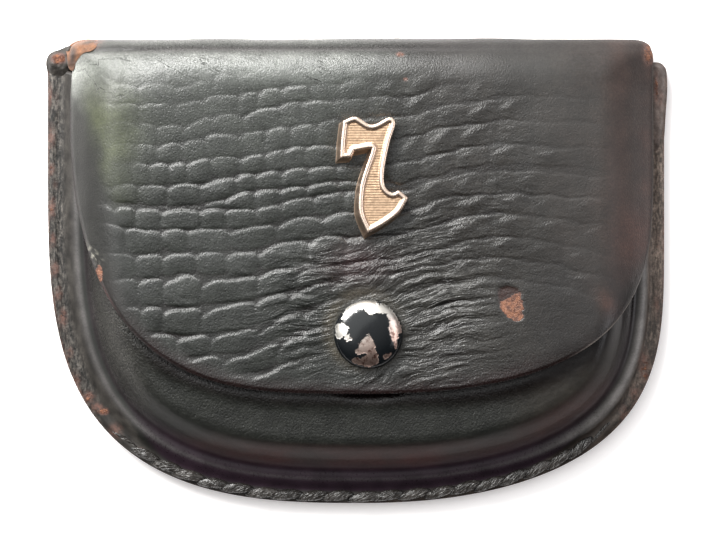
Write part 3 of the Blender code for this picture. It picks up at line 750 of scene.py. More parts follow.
def flap_finish(x, y, masks):
    """Colour, bareness and shine of the sheet's leather."""
    from_edge = distance_to(FLAP_PATH, np.column_stack((x, y)))
    on_flap = masks["on_flap"]
    cloud = 0.5 + 0.5 * noise(x, y, 9, 7, 71)
    patchy = 0.5 + 0.5 * noise(x, y, 3, 3, 73)
    tone = Tone((0.013, 0.014, 0.0122), len(x))

    # Lighter at the top left, painted sheen along the fold, olive and painted shade at the left,
    # dust round the snap
    tone.lay((0.028, 0.03, 0.026), 0.6 * smooth(y, 12, 28) * smooth(x, 10, -12) * on_flap)
    # Painted sheen along the fold, brightest at its far left end
    painted_sheen = blobs(x, y, (-46, 36, 9, 4.2, 0.6), (-18, 36.5, 24, 3.4, 0.9))
    tone.lay((0.09, 0.096, 0.087), 0.8 * painted_sheen * on_flap)
    tone.lay((0.27, 0.28, 0.26), blob(x, y, -50.4, 35, 3, 3, 0.9) * on_flap)
    diagonal = smooth(x + 49 + 0.25 * (y - 32) + 1.5 * patchy, -0.5, 3)
    stain = blob(x, y, -44, 24, 5, 9.5, 0.95) * (0.45 + 0.7 * patchy)
    tone.lay((0.046, 0.052, 0.026), stain * diagonal * on_flap)
    # Painted sheen just below the fold's top, patchy
    painted_fold_sheen = bell(y, 38.2, 1.2) * smooth(x, 14, -4) * (0.5 + 0.5 * patchy)
    tone.lay((0.12, 0.123, 0.114), 0.8 * painted_fold_sheen * on_flap)
    # Painted shade on the flap's left slope, beyond the olive stain's diagonal
    left_slope_shade = (1 - diagonal) * smooth(y, 32, 26) * on_flap
    tone.lay((0.009, 0.0086, 0.0074), 0.8 * left_slope_shade)
    around_snap = bell(from_snap(x + 0.5, y - 0.8), 6.5, 1.1)
    tone.lay((0.06, 0.05, 0.034), 0.55 * around_snap * on_flap)

    # Warm and reddish brown towards the right
    tone.lay((0.012, 0.0104, 0.0088), smooth(x, -5, 20))
    # Lighter grey right of the snap: painted sheen over its creases
    tone.lay((0.032, 0.031, 0.028), blob(x, y, 15, -7, 11, 8, 0.6) * on_flap)
    right = smooth(x, 28, 52) * (0.3 + 0.7 * smooth(from_edge, 5, 0.8))
    tone.lay((0.034, 0.016, 0.012), 0.8 * right * (0.5 + 0.7 * patchy))
    streak = blob(x + 0.55 * y, y, 41.4, -6.5, 2, 3.4)
    reddish = blob(x - 0.15 * y, y, 49, 3, 3.2, 8.5, 0.75)
    tone.lay((0.05, 0.023, 0.017), 0.3 * bell(x, 46.6, 2.6))
    tone.lay((0.066, 0.022, 0.015), reddish * (0.5 + 0.5 * patchy))
    tone.lay((0.06, 0.024, 0.015), 0.9 * streak * (0.3 + 0.7 * patchy))

    # Dark along the lower edge, and painted shade at the lower right, in the grooves and creases and
    # along the fold line
    low = smooth(from_edge, 2.6 + 1.6 * patchy + 0.9 * smooth(x, 24, 34), 0.3)
    low *= smooth(y, 6, -4) * (0.4 + 0.6 * smooth(x, -42, -34))
    tone.lay((0.0075, 0.003, 0.0028), 0.95 * low)
    # Painted shade: darker at the lower right
    under = smooth(x, 26, 38) * smooth(y, 6, -4)
    tone.lay((0.006, 0.0046, 0.004), 0.8 * under * (1 - streak))
    # Painted shade along the sunk line below the fold
    fold_line_shade = bell(y, FOLD_GROOVE - 0.2, 0.75) * (1 - 0.8 * smooth(x, 0, 40)) * on_flap
    for share in (0.8 * masks["groove_shade_and_dark_edge"], 0.9 * fold_line_shade):
        tone.lay((0.005, 0.0036, 0.0034), share)
    tone.lay((0.024, 0.011, 0.012), blob(x, y, 0, 1.5, 6, 4, 0.7) * (0.4 + 0.6 * cloud))

    # Torn, worn and singed places, the dark edge, and a painted highlight along the right edge
    torn, nick, wedge = flap_damage(x, y)
    tone.lay((0.022, 0.01, 0.008), 0.9 * wedge * (1 - torn) * on_flap)
    ends = blobs(x, y, (51.9, 38.6, 1.3, 2.2, 0.85), (-48.6, 40.7, 3.6, 1.6, 0.85),
                 (7.8, 38.2, 0.8, 0.5, 0.75), (8.7, 33.8, 0.4, 0.4, 0.75))
    wear = np.maximum.reduce((torn * on_flap, nick * on_flap, ends.clip(0, 1), masks["bare"]))
    thin = smooth(from_edge, 0.8, 0) * on_flap
    tone.lay((0.0065, 0.0026, 0.0024), 0.9 * thin)
    seared = blob(x, y, -43.8, -4, 2, 2.6) * smooth(from_edge, 0.6, 0.1)
    tone.lay((0.028, 0.006, 0.005), seared * on_flap)
    fibres = blob(x + y, x - y, -43.2, -49.5, 1.1, 2.4, 1.4)
    tone.lay((0.26, 0.25, 0.21), fibres * noise(x, y, 0.35, 0.35, 74).clip(0) * on_flap)
    # Painted highlight: a thin light line along the flap's right edge
    edge_highlight = bell(from_edge, 0.1, 0.11) * smooth(x, 36, 44)
    tone.lay((0.085, 0.072, 0.062), 0.8 * edge_highlight * on_flap)

    shine = 0.75 - 0.9 * smooth(x, 8, 26) * smooth(y, 14, 32) + 0.25 * noise(x, y, 6, 6, 72)
    shoulders = smooth(x, 22, 44) + 0.3 * smooth(x, -37, -47)
    shine -= 1.9 * shoulders * (1 - smooth(y, 27, 33) * smooth(x, 20, 0))
    shine += (0.6 + 1.2 * smooth(x, 24, 36)) * low - 0.5 * left_slope_shade - 0.4 * wear
    shine -= 2 * thin * (smooth(x, -26, -34) + smooth(x, 36, 44))
    shine -= smooth(x, 10, 24) * smooth(y, 30, 35)
    shine -= 1.6 * smooth(x, -36, -46) * smooth(y, 26, 33)
    return tone.color, wear, shine.clip(-3, 1)


def lower_mouth(points):
    """Draw the pocket's mouth down in the middle, and leave it level at the seam."""
    x = np.abs(points[..., 0] - BODY.middle) / BODY.right.reach
    mouth = BODY.top - MOUTH_DIP * (1 - x.clip(0, 1) ** MOUTH_POWER)
    above = (points[..., 1] - MOUTH_BLEND_START).clip(0)
    squeeze = (mouth - MOUTH_BLEND_START) / (BODY.top - MOUTH_BLEND_START)
    lowered = np.where(above > 0, MOUTH_BLEND_START + above * squeeze, points[..., 1])
    return np.stack((points[..., 0], lowered), axis=-1)


def pocket_depth(x, y, inset, along):
    """Small dents, the rim's long wrinkles, a softer bead and the pebbled top."""
    rim = smooth(inset, 0.1, 0.5) * smooth(inset, 2.8, 1.9)
    wrinkle = noise(along, inset, 6, 0.6, 41) + 0.6 * noise(along, inset, 1.6, 0.5, 42)
    dents = 0.035 * pebbles(x, y, 43) + 0.08 * noise(x, y, 9, 7, 45)
    softer = through(inset, POCKET_OUTSIDE) - through(inset, BEAD_HEIGHTS, BEAD_INSETS)
    softer *= smooth(inset, 2.2, 2.6) * smooth(inset, 8.4, 7.6)
    raised = 0.48 * bell(distance_to(FLAP_PATH, np.stack((x, y), axis=-1)), 1.1, 1.6)
    raised *= smooth(inset, 7, 10) * smooth(x, 40, 28)
    return 0.045 * rim * wrinkle + smooth(inset, 9.5, 11.5) * dents + softer - raised


def pocket_finish(x, y, inset, along):
    """Colour, bareness, shine, grain and flecks of the moulded leather."""
    tone = Tone((0.0095, 0.01, 0.0085), len(x))
    upright = smooth(y, -36, -22)
    right = smooth(x, 22, 36)
    uneven = 0.65 + 0.35 * noise(along, inset, 7, 4, 81)
    tone.lay((0.0125, 0.0105, 0.008), right)
    start = 1.6 + 3.6 * upright
    channel = smooth(inset, start, start + 0.8) * smooth(inset, 8.2, 6.4)
    tone.lay((0.018, 0.0105, 0.0155), channel * (1 - 0.5 * upright))
    reddened = smooth(inset, 5.6, 7.6) * smooth(inset, 11.2, 9.4) * uneven
    reddened *= np.maximum(smooth(y, -27, -34), 0.8 * right * smooth(y, -14, -26))
    tone.lay((0.046, 0.0085, 0.007), 0.95 * reddened)

    # Flecked rim, browner at the right, and painted lighter at the right and upper right where the
    # flap shades it
    # Painted light: the rim is lighter at the right and much lighter at the upper right, under the
    # flap's shade
    painted_fill_light = smooth(x, 48, 51) * smooth(y, -8, 4)
    flecks = 0.35 * noise(along, inset, 2.2, 0.4, 82) + 0.4 * noise(along, inset, 1.2, 0.5, 85)
    flecks = (0.95 + flecks * (1 - 0.6 * painted_fill_light)).clip(0.12)
    flecks *= 0.9 + 0.7 * smooth(x, 44, 50) + 2.4 * painted_fill_light
    browner = np.where(x[:, None] > 0, (1.15, 0.98, 0.9), (1, 1, 1))
    start = 1.3 + 2.8 * upright
    tone.lay((0.03, 0.027, 0.024) * flecks[:, None] * browner, smooth(inset, start + 1, start))

    # Painted highlight on the bead's crest, the lighter left shoulder, and painted shade below the
    # flap
    far_side = smooth(x, 20, 44)
    lower = smooth(y, -38, -26)
    # Painted highlight: a lighter tone on the bead's crest, much lighter on the right side
    crest_highlight = bell(inset - 0.05 * upright, 4.3, 0.34 + 0.18 * lower + 0.2 * far_side)
    crest_highlight *= 0.4 + 0.6 * lower
    tone.lay((0.07, 0.066, 0.065), 0.85 * crest_highlight)
    tone.lay((0.22, 0.205, 0.195), 0.75 * crest_highlight * far_side * upright)
    shoulder = smooth(x, -33, -42) * smooth(inset, 5.2, 7.4) * smooth(y, -34, -26)
    tone.lay((0.026, 0.025, 0.022), 0.85 * shoulder)
    reach = 2.8 + 0.8 * uneven + 2.2 * smooth(x, 8, 28)
    shadow = smooth(distance_to(FLAP_PATH, np.column_stack((x, y))), reach, 0.4)
    shadow *= smooth(inset, 5, 7) * (1 - 0.9 * shoulder)
    tone.lay((0.003, 0.0013, 0.0013), 0.95 * shadow)

    rim = smooth(inset, 3, 1.6)
    side = smooth(np.abs(x), 44, 49)
    patch = 0.5 + 0.5 * noise(along, inset, 2.6, 1.2, 83)
    wear = 0.26 * side * rim * patch + 0.24 * smooth(inset, 0.5, 0.05)
    wear = np.maximum.reduce((wear, *(blob(x, y, *row) for row in WORN)))
    wall = smooth(inset, 5.4, 6.8) * smooth(inset, 11.2, 9.8)
    shine = 0.5 + 0.5 * channel - 1.3 * wall + 0.15 * noise(x, y, 5, 5, 84) - 0.3 * rim
    shine += 0.5 * crest_highlight - right * smooth(inset, 8, 10) + 1.6 * shadow
    grain = np.maximum.reduce((smooth(inset, 9.6, 11.4) * (1 - 0.8 * right), 2.2 * shoulder,
                               0.8 * side * smooth(inset, 3.2, 1.8)))
    fleck = (0.9 - 0.45 * smooth(x, 0, 10)) * side * smooth(inset, 3.4, 2)
    return {"tone": tone.color, "wear": wear.clip(0, 1.2), "shine": shine.clip(-2.5, 1.2),
            "grain": grain, "fleck": fleck}


def pocket_edge():
    """The sewn edge from the top left corner round the bottom, and its inward normals."""
    left, bottom, right = split_outline(trace(BODY))
    even = np.linspace(0, 1, POCKET_ROWS * FINE + 1)
    across = np.linspace(0, 1, POCKET_COLUMNS * FINE + 1)
    edge = np.vstack((resample(left, even), resample(bottom, across)[1:],
                      resample(right, even)[1:]))
    travel = np.gradient(edge, axis=0)
    travel[0], travel[-1] = (0, -1), (0, 1)
    return edge, unit(np.column_stack((-travel[:, 1], travel[:, 0]))), across


def add_pocket_skin(form, plan, inset, along):
    """Add one part of the pocket's fine outer and coarse inner skin."""
    plan = lower_mouth(plan)
    outside, inside = pocket_heights(plan, inset)
    depth = pocket_depth(plan[..., 0], plan[..., 1], inset, along)
    return (form.add(np.dstack((plan, outside - depth))),
            form.add(np.dstack((plan, inside))[::FINE, ::FINE]))


def build_pocket(material):
    """Moulded front: a flat sewn edge, a bead, a steep wall and a crowned top."""
    edge, inward, across = pocket_edge()
    insets = np.linspace(0, INSET[-1], POCKET_RINGS * FINE + 1)[:, None]
    rings = edge + insets[..., None] * inward
    rings[..., 0] += FORM_SHIFT * smooth(insets, *FORM_SHIFT_INSETS)
    rows = POCKET_ROWS * FINE
    corner = rows + POCKET_COLUMNS * FINE
    inner = rings[-1]
    top = inner[0] + across[:, None] * (inner[-1] - inner[0])
    patch = coons(top, inner[:rows + 1], inner[rows:corner + 1], inner[:corner - 1:-1], across)
    ring_inset, ring_along = np.broadcast_arrays(insets, lengths_along(edge))
    patch_inset = np.full(patch.shape[:2], INSET[-1])

    form = Form()
    ring_out, ring_in = add_pocket_skin(form, rings, ring_inset, ring_along)
    patch_out, patch_in = add_pocket_skin(form, patch, patch_inset, patch[..., 0])
    inset, place = np.zeros((2, len(form.points)))
    inset[ring_out], place[ring_out] = ring_inset, ring_along
    inset[patch_out], place[patch_out] = patch_inset, patch[..., 0]
    inset[ring_in] = ring_inset[::FINE, ::FINE]
    for ids, ring, step in ((patch_out, ring_out[-1], 1), (patch_in, ring_in[-1], FINE)):
        ids[:, 0] = ring[:rows // step + 1]
        ids[-1] = ring[rows // step:corner // step + 1]
        ids[:, -1] = ring[corner // step:][::-1]
    form.cover((ring_out[:, ::-1], ring_in, patch_out, patch_in[:, ::-1]),
               ((patch_out[0], patch_in[0]), (ring_out[:, 0], ring_in[:, 0]),
                (ring_out[::-1, -1], ring_in[::-1, -1]), (ring_out[0, ::-1], ring_in[0, ::-1])))
    used = form.drop_unused()
    x, y, _ = form.points.T
    piece = form.make("front_pocket_leather", material, "moulded_leather",
                      **pocket_finish(x, y, inset[used], place[used]))
    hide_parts("front_pocket")


def build_rim_cord(material):
    """Cord whipped over the sewn edge: low twisted lobes along the round lower part."""
    edge, inward, _ = pocket_edge()
    travelled = lengths_along(edge)
    first = travelled[(edge[:, 0] < 0) & (edge[:, 1] < CORD_ENDS[0])][0]
    last = travelled[(edge[:, 0] > 0) & (edge[:, 1] < CORD_ENDS[1])][-1]
    count = int((last - first) / CORD_PITCH)
    form = Form()
    rng = np.random.default_rng(5)
    painted_shading, lines = [], []
    share = np.linspace(0, 1, CORD_RINGS)[:, None]
    hump = np.sin(math.pi * share)
    turns = np.linspace(0, 2 * math.pi, CORD_SIDES + 1)[:-1]
    for index in range(count):
        middle = first + (index + 0.5) * CORD_PITCH + rng.normal(0, 0.18)
        length = CORD_PITCH * (1.42 + rng.normal(0, 0.05))
        run = middle + (share - 0.5) * length
        swell = hump ** 0.55 * smooth(min(index + 1, count - index), 0, 2.4)
        inset = 1.05 + 0.3 * hump + (share - 0.5) * 0.9 + rng.normal(0, 0.07)
        across = read_columns(run[:, 0], travelled, inward)
        centre = read_columns(run[:, 0], travelled, edge) + across * inset
        thick = 1 + 0.07 * noise(turns * 2.2 - 5 * share, share * 3, 1, 1, 96 + index)
        wide = 0.95 * swell * np.cos(turns) * thick
        high = 2.85 + 0.25 * swell + 0.72 * swell * np.sin(turns) * thick
        ids = form.add(np.dstack((centre[:, None] + across[:, None] * wide[..., None], high)))
        form.faces += grid_faces(closed(ids)[:, ::-1])
        form.faces += [ids[0].tolist(), ids[-1][::-1].tolist()]
        # Painted shade and highlight: each lobe darker towards its ends, where the lobes meet,
        # darker on its inner side and lighter on its outer side, with a random strength per lobe
        ends = smooth(hump, 0, 0.55) * (0.75 + 0.5 * rng.random())
        painted_shading.append((ends * (0.85 - 0.35 * np.cos(turns))).ravel())
        lines.append((wide - 0.42 * (run - middle)).ravel())
    form.make("rim_cord", material, "moulded_leather",
              tone=np.outer(np.concatenate(painted_shading), (0.03, 0.026, 0.023)),
              across=np.concatenate(lines), wear=0.1, shine=0.8, crease=1, grain=0.6)


def turned_grid(profile, sides):
    """Turn a profile of (radius, height) rows round the axis; the grid's rows go down it."""
    angles = np.linspace(0, 2 * math.pi, sides, endpoint=False)
    radius, height = np.asarray(profile).T[..., None]
    return np.dstack((radius * np.cos(angles), radius * np.sin(angles),
                      np.repeat(height, sides, axis=1)))


def outline_distance(points, outline):
    """Signed distance to a closed outline, above 0 inside it."""
    inside = np.zeros(len(points), bool)
    nearest = np.full(len(points), np.inf)
    for start, end in zip(outline, np.roll(outline, -1, axis=0)):
        edge = end - start
        off = points - start
        share = np.clip(off @ edge / (edge @ edge), 0, 1)
        nearest = np.minimum(nearest, np.hypot(*(off - share[:, None] * edge).T))
        crosses = (start[1] > points[:, 1]) != (end[1] > points[:, 1])
        inside ^= crosses & (off[:, 0] < edge[0] * off[:, 1] / (edge[1] or 1e-9))
    return np.where(inside, nearest, -nearest)


def build_cap(enamel, steel):
    """Domed cap: black enamel with chips that show the steel, over its hidden socket."""
    low, high = (corner.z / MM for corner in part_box("snap_cap"))
    seat = high - CAP_HEIGHT
    turn = np.linspace(0.001, math.pi / 2, CAP_RINGS)
    dome = np.column_stack((CAP_RADIUS * np.sin(turn) ** CAP_FULLNESS,
                            CAP_RIM + (CAP_HEIGHT - CAP_RIM) * np.cos(turn)))
    rim = ((CAP_RADIUS - 0.02, 0.5), (CAP_RADIUS - 0.12, 0.25), (CAP_RADIUS - 0.3, 0),
           (CAP_RADIUS - 0.5, -0.35), (SHANK_RADIUS, -0.35))
    grid = turned_grid(np.vstack((dome, rim)), CAP_SIDES)
    flat = grid.reshape(-1, 3)
    place = flat[:, :2] / CAP_RADIUS
    x, y = place.T
    chip = np.max([outline_distance(place, np.array(outline) / 100) for outline in CHIPS], axis=0)
    ragged = 0.028 * noise(x, y, 0.05, 0.05, 91) + 0.014 * noise(x, y, 0.02, 0.02, 92)
    bare = smooth(chip + ragged, -0.006, 0.012) * (flat[:, 2] >= 0.45)
    depth = bare * (CHIP_DEPTH + 0.01 * noise(x, y, 0.09, 0.09, 93))
    normal = grid_normals(closed(grid))[:, :-1]
    form = Form()
    ids = form.add(grid - normal * depth.reshape(grid.shape[:2])[..., None]
                   + (*SNAP_CENTRE, seat))
    form.faces = turned_faces(ids)
    piece = form.make("snap_cap_dome", enamel, "black_enamel", bare=bare,
                      tarnish=smooth(0.6 * x - y, -0.5, 0.7))
    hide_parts("snap_cap")

    top = seat - 0.2 - low
    profile = ((0.05, 1), (1.8, 1), (1.95, 0.9), (2, 0.1), (2.1, 0), (3.3, 0), (3.4, 0.12),
               (3.4, 1.15), (3.25, 1.3), (SHANK_RADIUS, 1.3), (SHANK_RADIUS, top), (0.05, top))
    form = Form()
    ids = form.add(turned_grid(profile, SOCKET_SIDES) + (*SNAP_CENTRE, low))
    form.faces = [face[::-1] for face in turned_faces(ids)]
    socket = form.make("snap_socket", steel, "plated_steel")
    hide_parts("snap_cap")


def smooth_outline(rows, steps):
    """Smooth closed line through points, turning sharply at those marked as corners."""
    here = np.array([row[:2] for row in rows])
    sharp = np.array([[len(row) > 2] for row in rows])
    before, after, beyond = (np.roll(here, shift, axis=0) for shift in (1, -1, -2))
    leave = np.where(sharp, after - here, (after - before) / 2)
    arrive = np.where(np.roll(sharp, -1, axis=0), after - here, (beyond - here) / 2)
    t = (np.arange(steps) / steps)[:, None]
    return np.vstack([hermite(t, *ends) for ends in zip(here, after, leave, arrive)])


def inset_line(line, distance):
    """Move a closed line, walked clockwise, inwards; points that would cross draw together."""
    after = np.roll(line, -1, axis=0) - line
    bend = unit(line - np.roll(line, 1, axis=0)) + unit(after)
    normal = np.column_stack((bend[:, 1], -bend[:, 0]))
    mitre = np.minimum(2 / np.linalg.norm(normal, axis=1)[:, None], 1.3)
    moved = line + unit(normal) * distance * mitre
    for _ in range(6):
        ahead = np.roll(moved, -1, axis=0) - moved
        turned = np.sum(ahead * after, axis=1) < 0
        turned |= np.roll(turned, 1)
        middle = (np.roll(moved, 1, axis=0) + np.roll(moved, -1, axis=0)) / 2
        moved = np.where(turned[:, None], middle, moved)
    return moved


def cut_face(outline, step):
    """Points and faces of the flat area inside an outline, cut into a fine grid."""
    form = bmesh.new()
    face = form.faces.new([form.verts.new((x, y, 0)) for x, y in outline])
    bmesh.ops.triangulate(form, faces=[face])
    for axis, normal in enumerate(((1, 0, 0), (0, 1, 0))):
        for place in np.arange(outline[:, axis].min(), outline[:, axis].max(), step)[1:]:
            geometry = form.verts[:] + form.edges[:] + form.faces[:]
            bmesh.ops.bisect_plane(form, geom=geometry, plane_co=Vector(normal) * place,
                                   plane_no=normal)
    if sum(face.normal.z for face in form.faces) < 0:
        bmesh.ops.reverse_faces(form, faces=form.faces[:])
    form.verts.index_update()
    points = np.array([vert.co[:] for vert in form.verts])
    cells = [[vert.index for vert in face.verts] for face in form.faces]
    form.free()
    return points, cells


def build_numeral(material):
    """Cast 7 with drafted sides, a raised rounded rim and a ribbed field."""
    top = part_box("numeral_seven")[1].z / MM
    foot = smooth_outline(NUMERAL_OUTLINE, NUMERAL_STEPS)
    face = inset_line(foot, NUMERAL_DRAFT) + NUMERAL_FACE_SHIFT
    ground = flap_height(foot + NUMERAL_CENTRE)
    points, cells = cut_face(face, NUMERAL_CELL)
    x, y, _ = points.T
    inset = outline_distance(points[:, :2], face).clip(0)
    field = smooth(inset, 0.8, 1)
    ribs = RIB_DEPTH * np.cos(2 * math.pi * y / RIB_PITCH) + 0.02 * noise(x, y, 0.8, 0.8, 95)
    points[:, 2] = top - np.interp(inset, RIM_INSETS, RIM_DROPS) + field * ribs
    form = Form()
    ids = form.add(points + (*NUMERAL_CENTRE, 0))
    rings = ((foot, ground - 0.25), ((foot + face) / 2, (ground + top) / 2 - 0.1),
             (face, np.full(len(face), top - RIM_DROPS[0])))
    walls = form.add([np.column_stack((line + NUMERAL_CENTRE, z)) for line, z in rings])
    form.faces = [ids[cell].tolist() for cell in cells]
    form.faces += grid_faces(closed(walls)) + [walls[0][::-1].tolist()]
    polish = np.full(len(form.points), 0.35)
    polish[ids] = 1 - field
    piece = form.make("numeral_seven_casting", material, "gilt_brass", polish=polish)
    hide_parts("numeral_seven")


def build_scrap(name, rows, ground, thickness, color, wear, material, slot):
    """Small piece of torn leather inside an outline, thick in its middle."""
    outline = smooth_outline(rows, SCRAP_STEPS)
    points, cells = cut_face(outline, SCRAP_CELL)
    inset = outline_distance(points[:, :2], outline).clip(0)
    x, y, _ = points.T
    uneven = 0.6 * noise(x, y, 0.9, 0.8, 97) + 0.4 * noise(x, y, 0.35, 0.4, 98)
    low = ground(x, y)
    high = low + thickness(x, y) * (0.72 + 0.28 * smooth(inset, 0, 1.1))
    high += 0.22 * uneven * smooth(inset, 0, 0.5)
    form = Form()
    upper, lower = (form.add(np.column_stack((x, y, z))) for z in (high, low))
    form.faces = [upper[cell].tolist() for cell in cells]
    form.faces += [lower[cell[::-1]].tolist() for cell in cells]
    edge, thick = ground(*outline.T), thickness(*outline.T)
    walls = form.add([np.column_stack((outline, edge + thick * share))
                      for share in (0, 0.4, 0.72)])
    form.faces += grid_faces(closed(walls))
    x, y, _ = form.points.T
    shade = 1 + 0.4 * noise(x, y, 0.8, 0.8, 99)
    form.make(name, material, slot, tone=color(x, y) * shade[:, None], wear=wear(x, y),
              shine=-1, grain=0.3)


def build_corners(embossed, moulded):
    """Torn stub and flake at the fold's left end, and the body's rounded right corner."""
    def seam(x, y):
        return np.full(len(x), 0.3)

    def stub_thickness(x, y):
        return 2.5 + 1.3 * smooth(y, 34, 37)

    def corner_thickness(x, y):
        return 2.2 + (0.8 + 1.7 * smooth(x, 55.4, 52.8)) * smooth(y, 19, 27)

    def over_fold(x, y):
        return fold_height(x, y) - sag(x, y) - 0.4

    def tan_hide_painted_shade(x, y):
        # Tan hide with painted shade: darker towards the flake's lower edge and in its two folds
        folds = blob(x, y - 0.2 * x, -47.4, 50.1, 1.5, 0.35) + blob(x, y, -50.2, 38.2, 0.5, 1.6)
        shade = (0.4 + 0.6 * smooth(y, 36.8, 39.4)) * (1 - 0.85 * folds.clip(0, 1))
        return np.outer(shade, (0.112, 0.044, 0.015))

    def rubbed_corner(x, y):
        return blobs(x, y, (53.3, 32.6, 0.55, 3.6, 0.56), (54.4, 30.6, 0.6, 2.4, 0.45))

    build_scrap("torn_stub", STUB, seam, stub_thickness,
                lambda x, y: np.array((0.03, 0.027, 0.024)),
                lambda x, y: blob(x, y, -52.9, 37.9, 1.4, 1, 0.95), moulded, "moulded_leather")
    build_scrap("torn_flake", FLAKE, over_fold, lambda x, y: 0.6, tan_hide_painted_shade,
                lambda x, y: 0.15, embossed, "embossed_leather")
    # The corner's colour is its brown-grey leather, painted lighter to make up for the flap's shade
    # on it
    build_scrap("body_corner", TAB, seam, corner_thickness,
                lambda x, y: np.array((0.092, 0.068, 0.058)), rubbed_corner,
                moulded, "moulded_leather")


class Shader:
    """The nodes of a material or of the world, with short calls to add and link them."""

    def __init__(self, owner):
        owner.use_nodes = True
        self.owner = owner
        self.tree = owner.node_tree
        self.coordinates = self.add("TexCoord").outputs

    def add(self, kind, inputs=None, **settings):
        """Add a node."""
        node = self.tree.nodes.new("ShaderNode" + kind)
        for name, value in settings.items():
            setattr(node, name, value)
        return self.fill(node, inputs or {})

    def fill(self, node, inputs):
        """Set a node's inputs, each to a value, a colour or another node's output."""
        for name, value in inputs.items():
            socket = node.inputs[name]
            if isinstance(value, bpy.types.NodeSocket):
                self.tree.links.new(value, socket)
            else:
                socket.default_value = (*value, 1) if socket.type == "RGBA" else value
        return node

    def attribute(self, name, output="Fac"):
        return self.add("Attribute", attribute_name=name).outputs[output]

    def noise(self, size, detail=3, roughness=0.55, stretch=None, turn=0):
        """Noise whose features are about size millimetres, from 0 to 1."""
        place = self.coordinates["Object"]
        if turn:
            place = self.add("Mapping", {"Vector": place, "Rotation": (0, 0, turn)}).outputs[0]
        if stretch:
            place = self.add("Mapping", {"Vector": place, "Scale": stretch}).outputs[0]
        return self.add("TexNoise", {"Vector": place, "Scale": 1 / (size * MM), "Detail": detail,
                                     "Roughness": roughness}).outputs["Fac"]

    def fan_noise(self, along, across):
        """Ridged noise that follows the creases, with ridges of these millimetres."""
        x = self.add("SeparateXYZ", {0: self.coordinates["Object"]}).outputs[0]
        place = self.add("CombineXYZ", {
            0: self.math("DIVIDE", x, along * MM),
            1: self.math("DIVIDE", self.attribute("across"), across)}).outputs[0]
        wave = self.add("TexNoise", {"Vector": place, "Scale": 1, "Detail": 2})
        return self.line(wave.outputs["Fac"], 0.16, 0, 1)

    def line(self, value, width, inside=1, outside=0):
        """Tell a line of about this width, where a noise passes its middle, from the rest."""
        off = self.math("ABSOLUTE", self.math("SUBTRACT", value, 0.5))
        return self.ramp(off, 0, width, inside, outside)

    def math(self, operation, *values):
        return self.add("Math", dict(enumerate(values)), operation=operation).outputs[0]

    def ramp(self, value, low, high, to_low=0, to_high=1):
        """Map low..high to to_low..to_high smoothly, and hold it outside them."""
        return self.add("MapRange", {
            "Value": value, "From Min": low, "From Max": high, "To Min": to_low,
            "To Max": to_high}, interpolation_type="SMOOTHSTEP").outputs[0]

    def mix(self, share, first, second, blend="MIX"):
        """Mix two colours."""
        return self.add("Mix", {0: share, 6: first, 7: second}, data_type="RGBA",
                        blend_type=blend).outputs[2]

    def bump(self, height, depth, normal=None):
        """Turn a height from 0 to 1 into relief of that many millimetres."""
        inputs = {"Height": height, "Distance": depth * MM}
        if normal is not None:
            inputs["Normal"] = normal
        return self.add("Bump", inputs).outputs[0]

    def finish(self, **inputs):
        names = {name.replace("_", " ").title().replace("Ior", "IOR"): value
                 for name, value in inputs.items()}
        self.fill(self.tree.nodes["Principled BSDF"], names)
        return self.owner


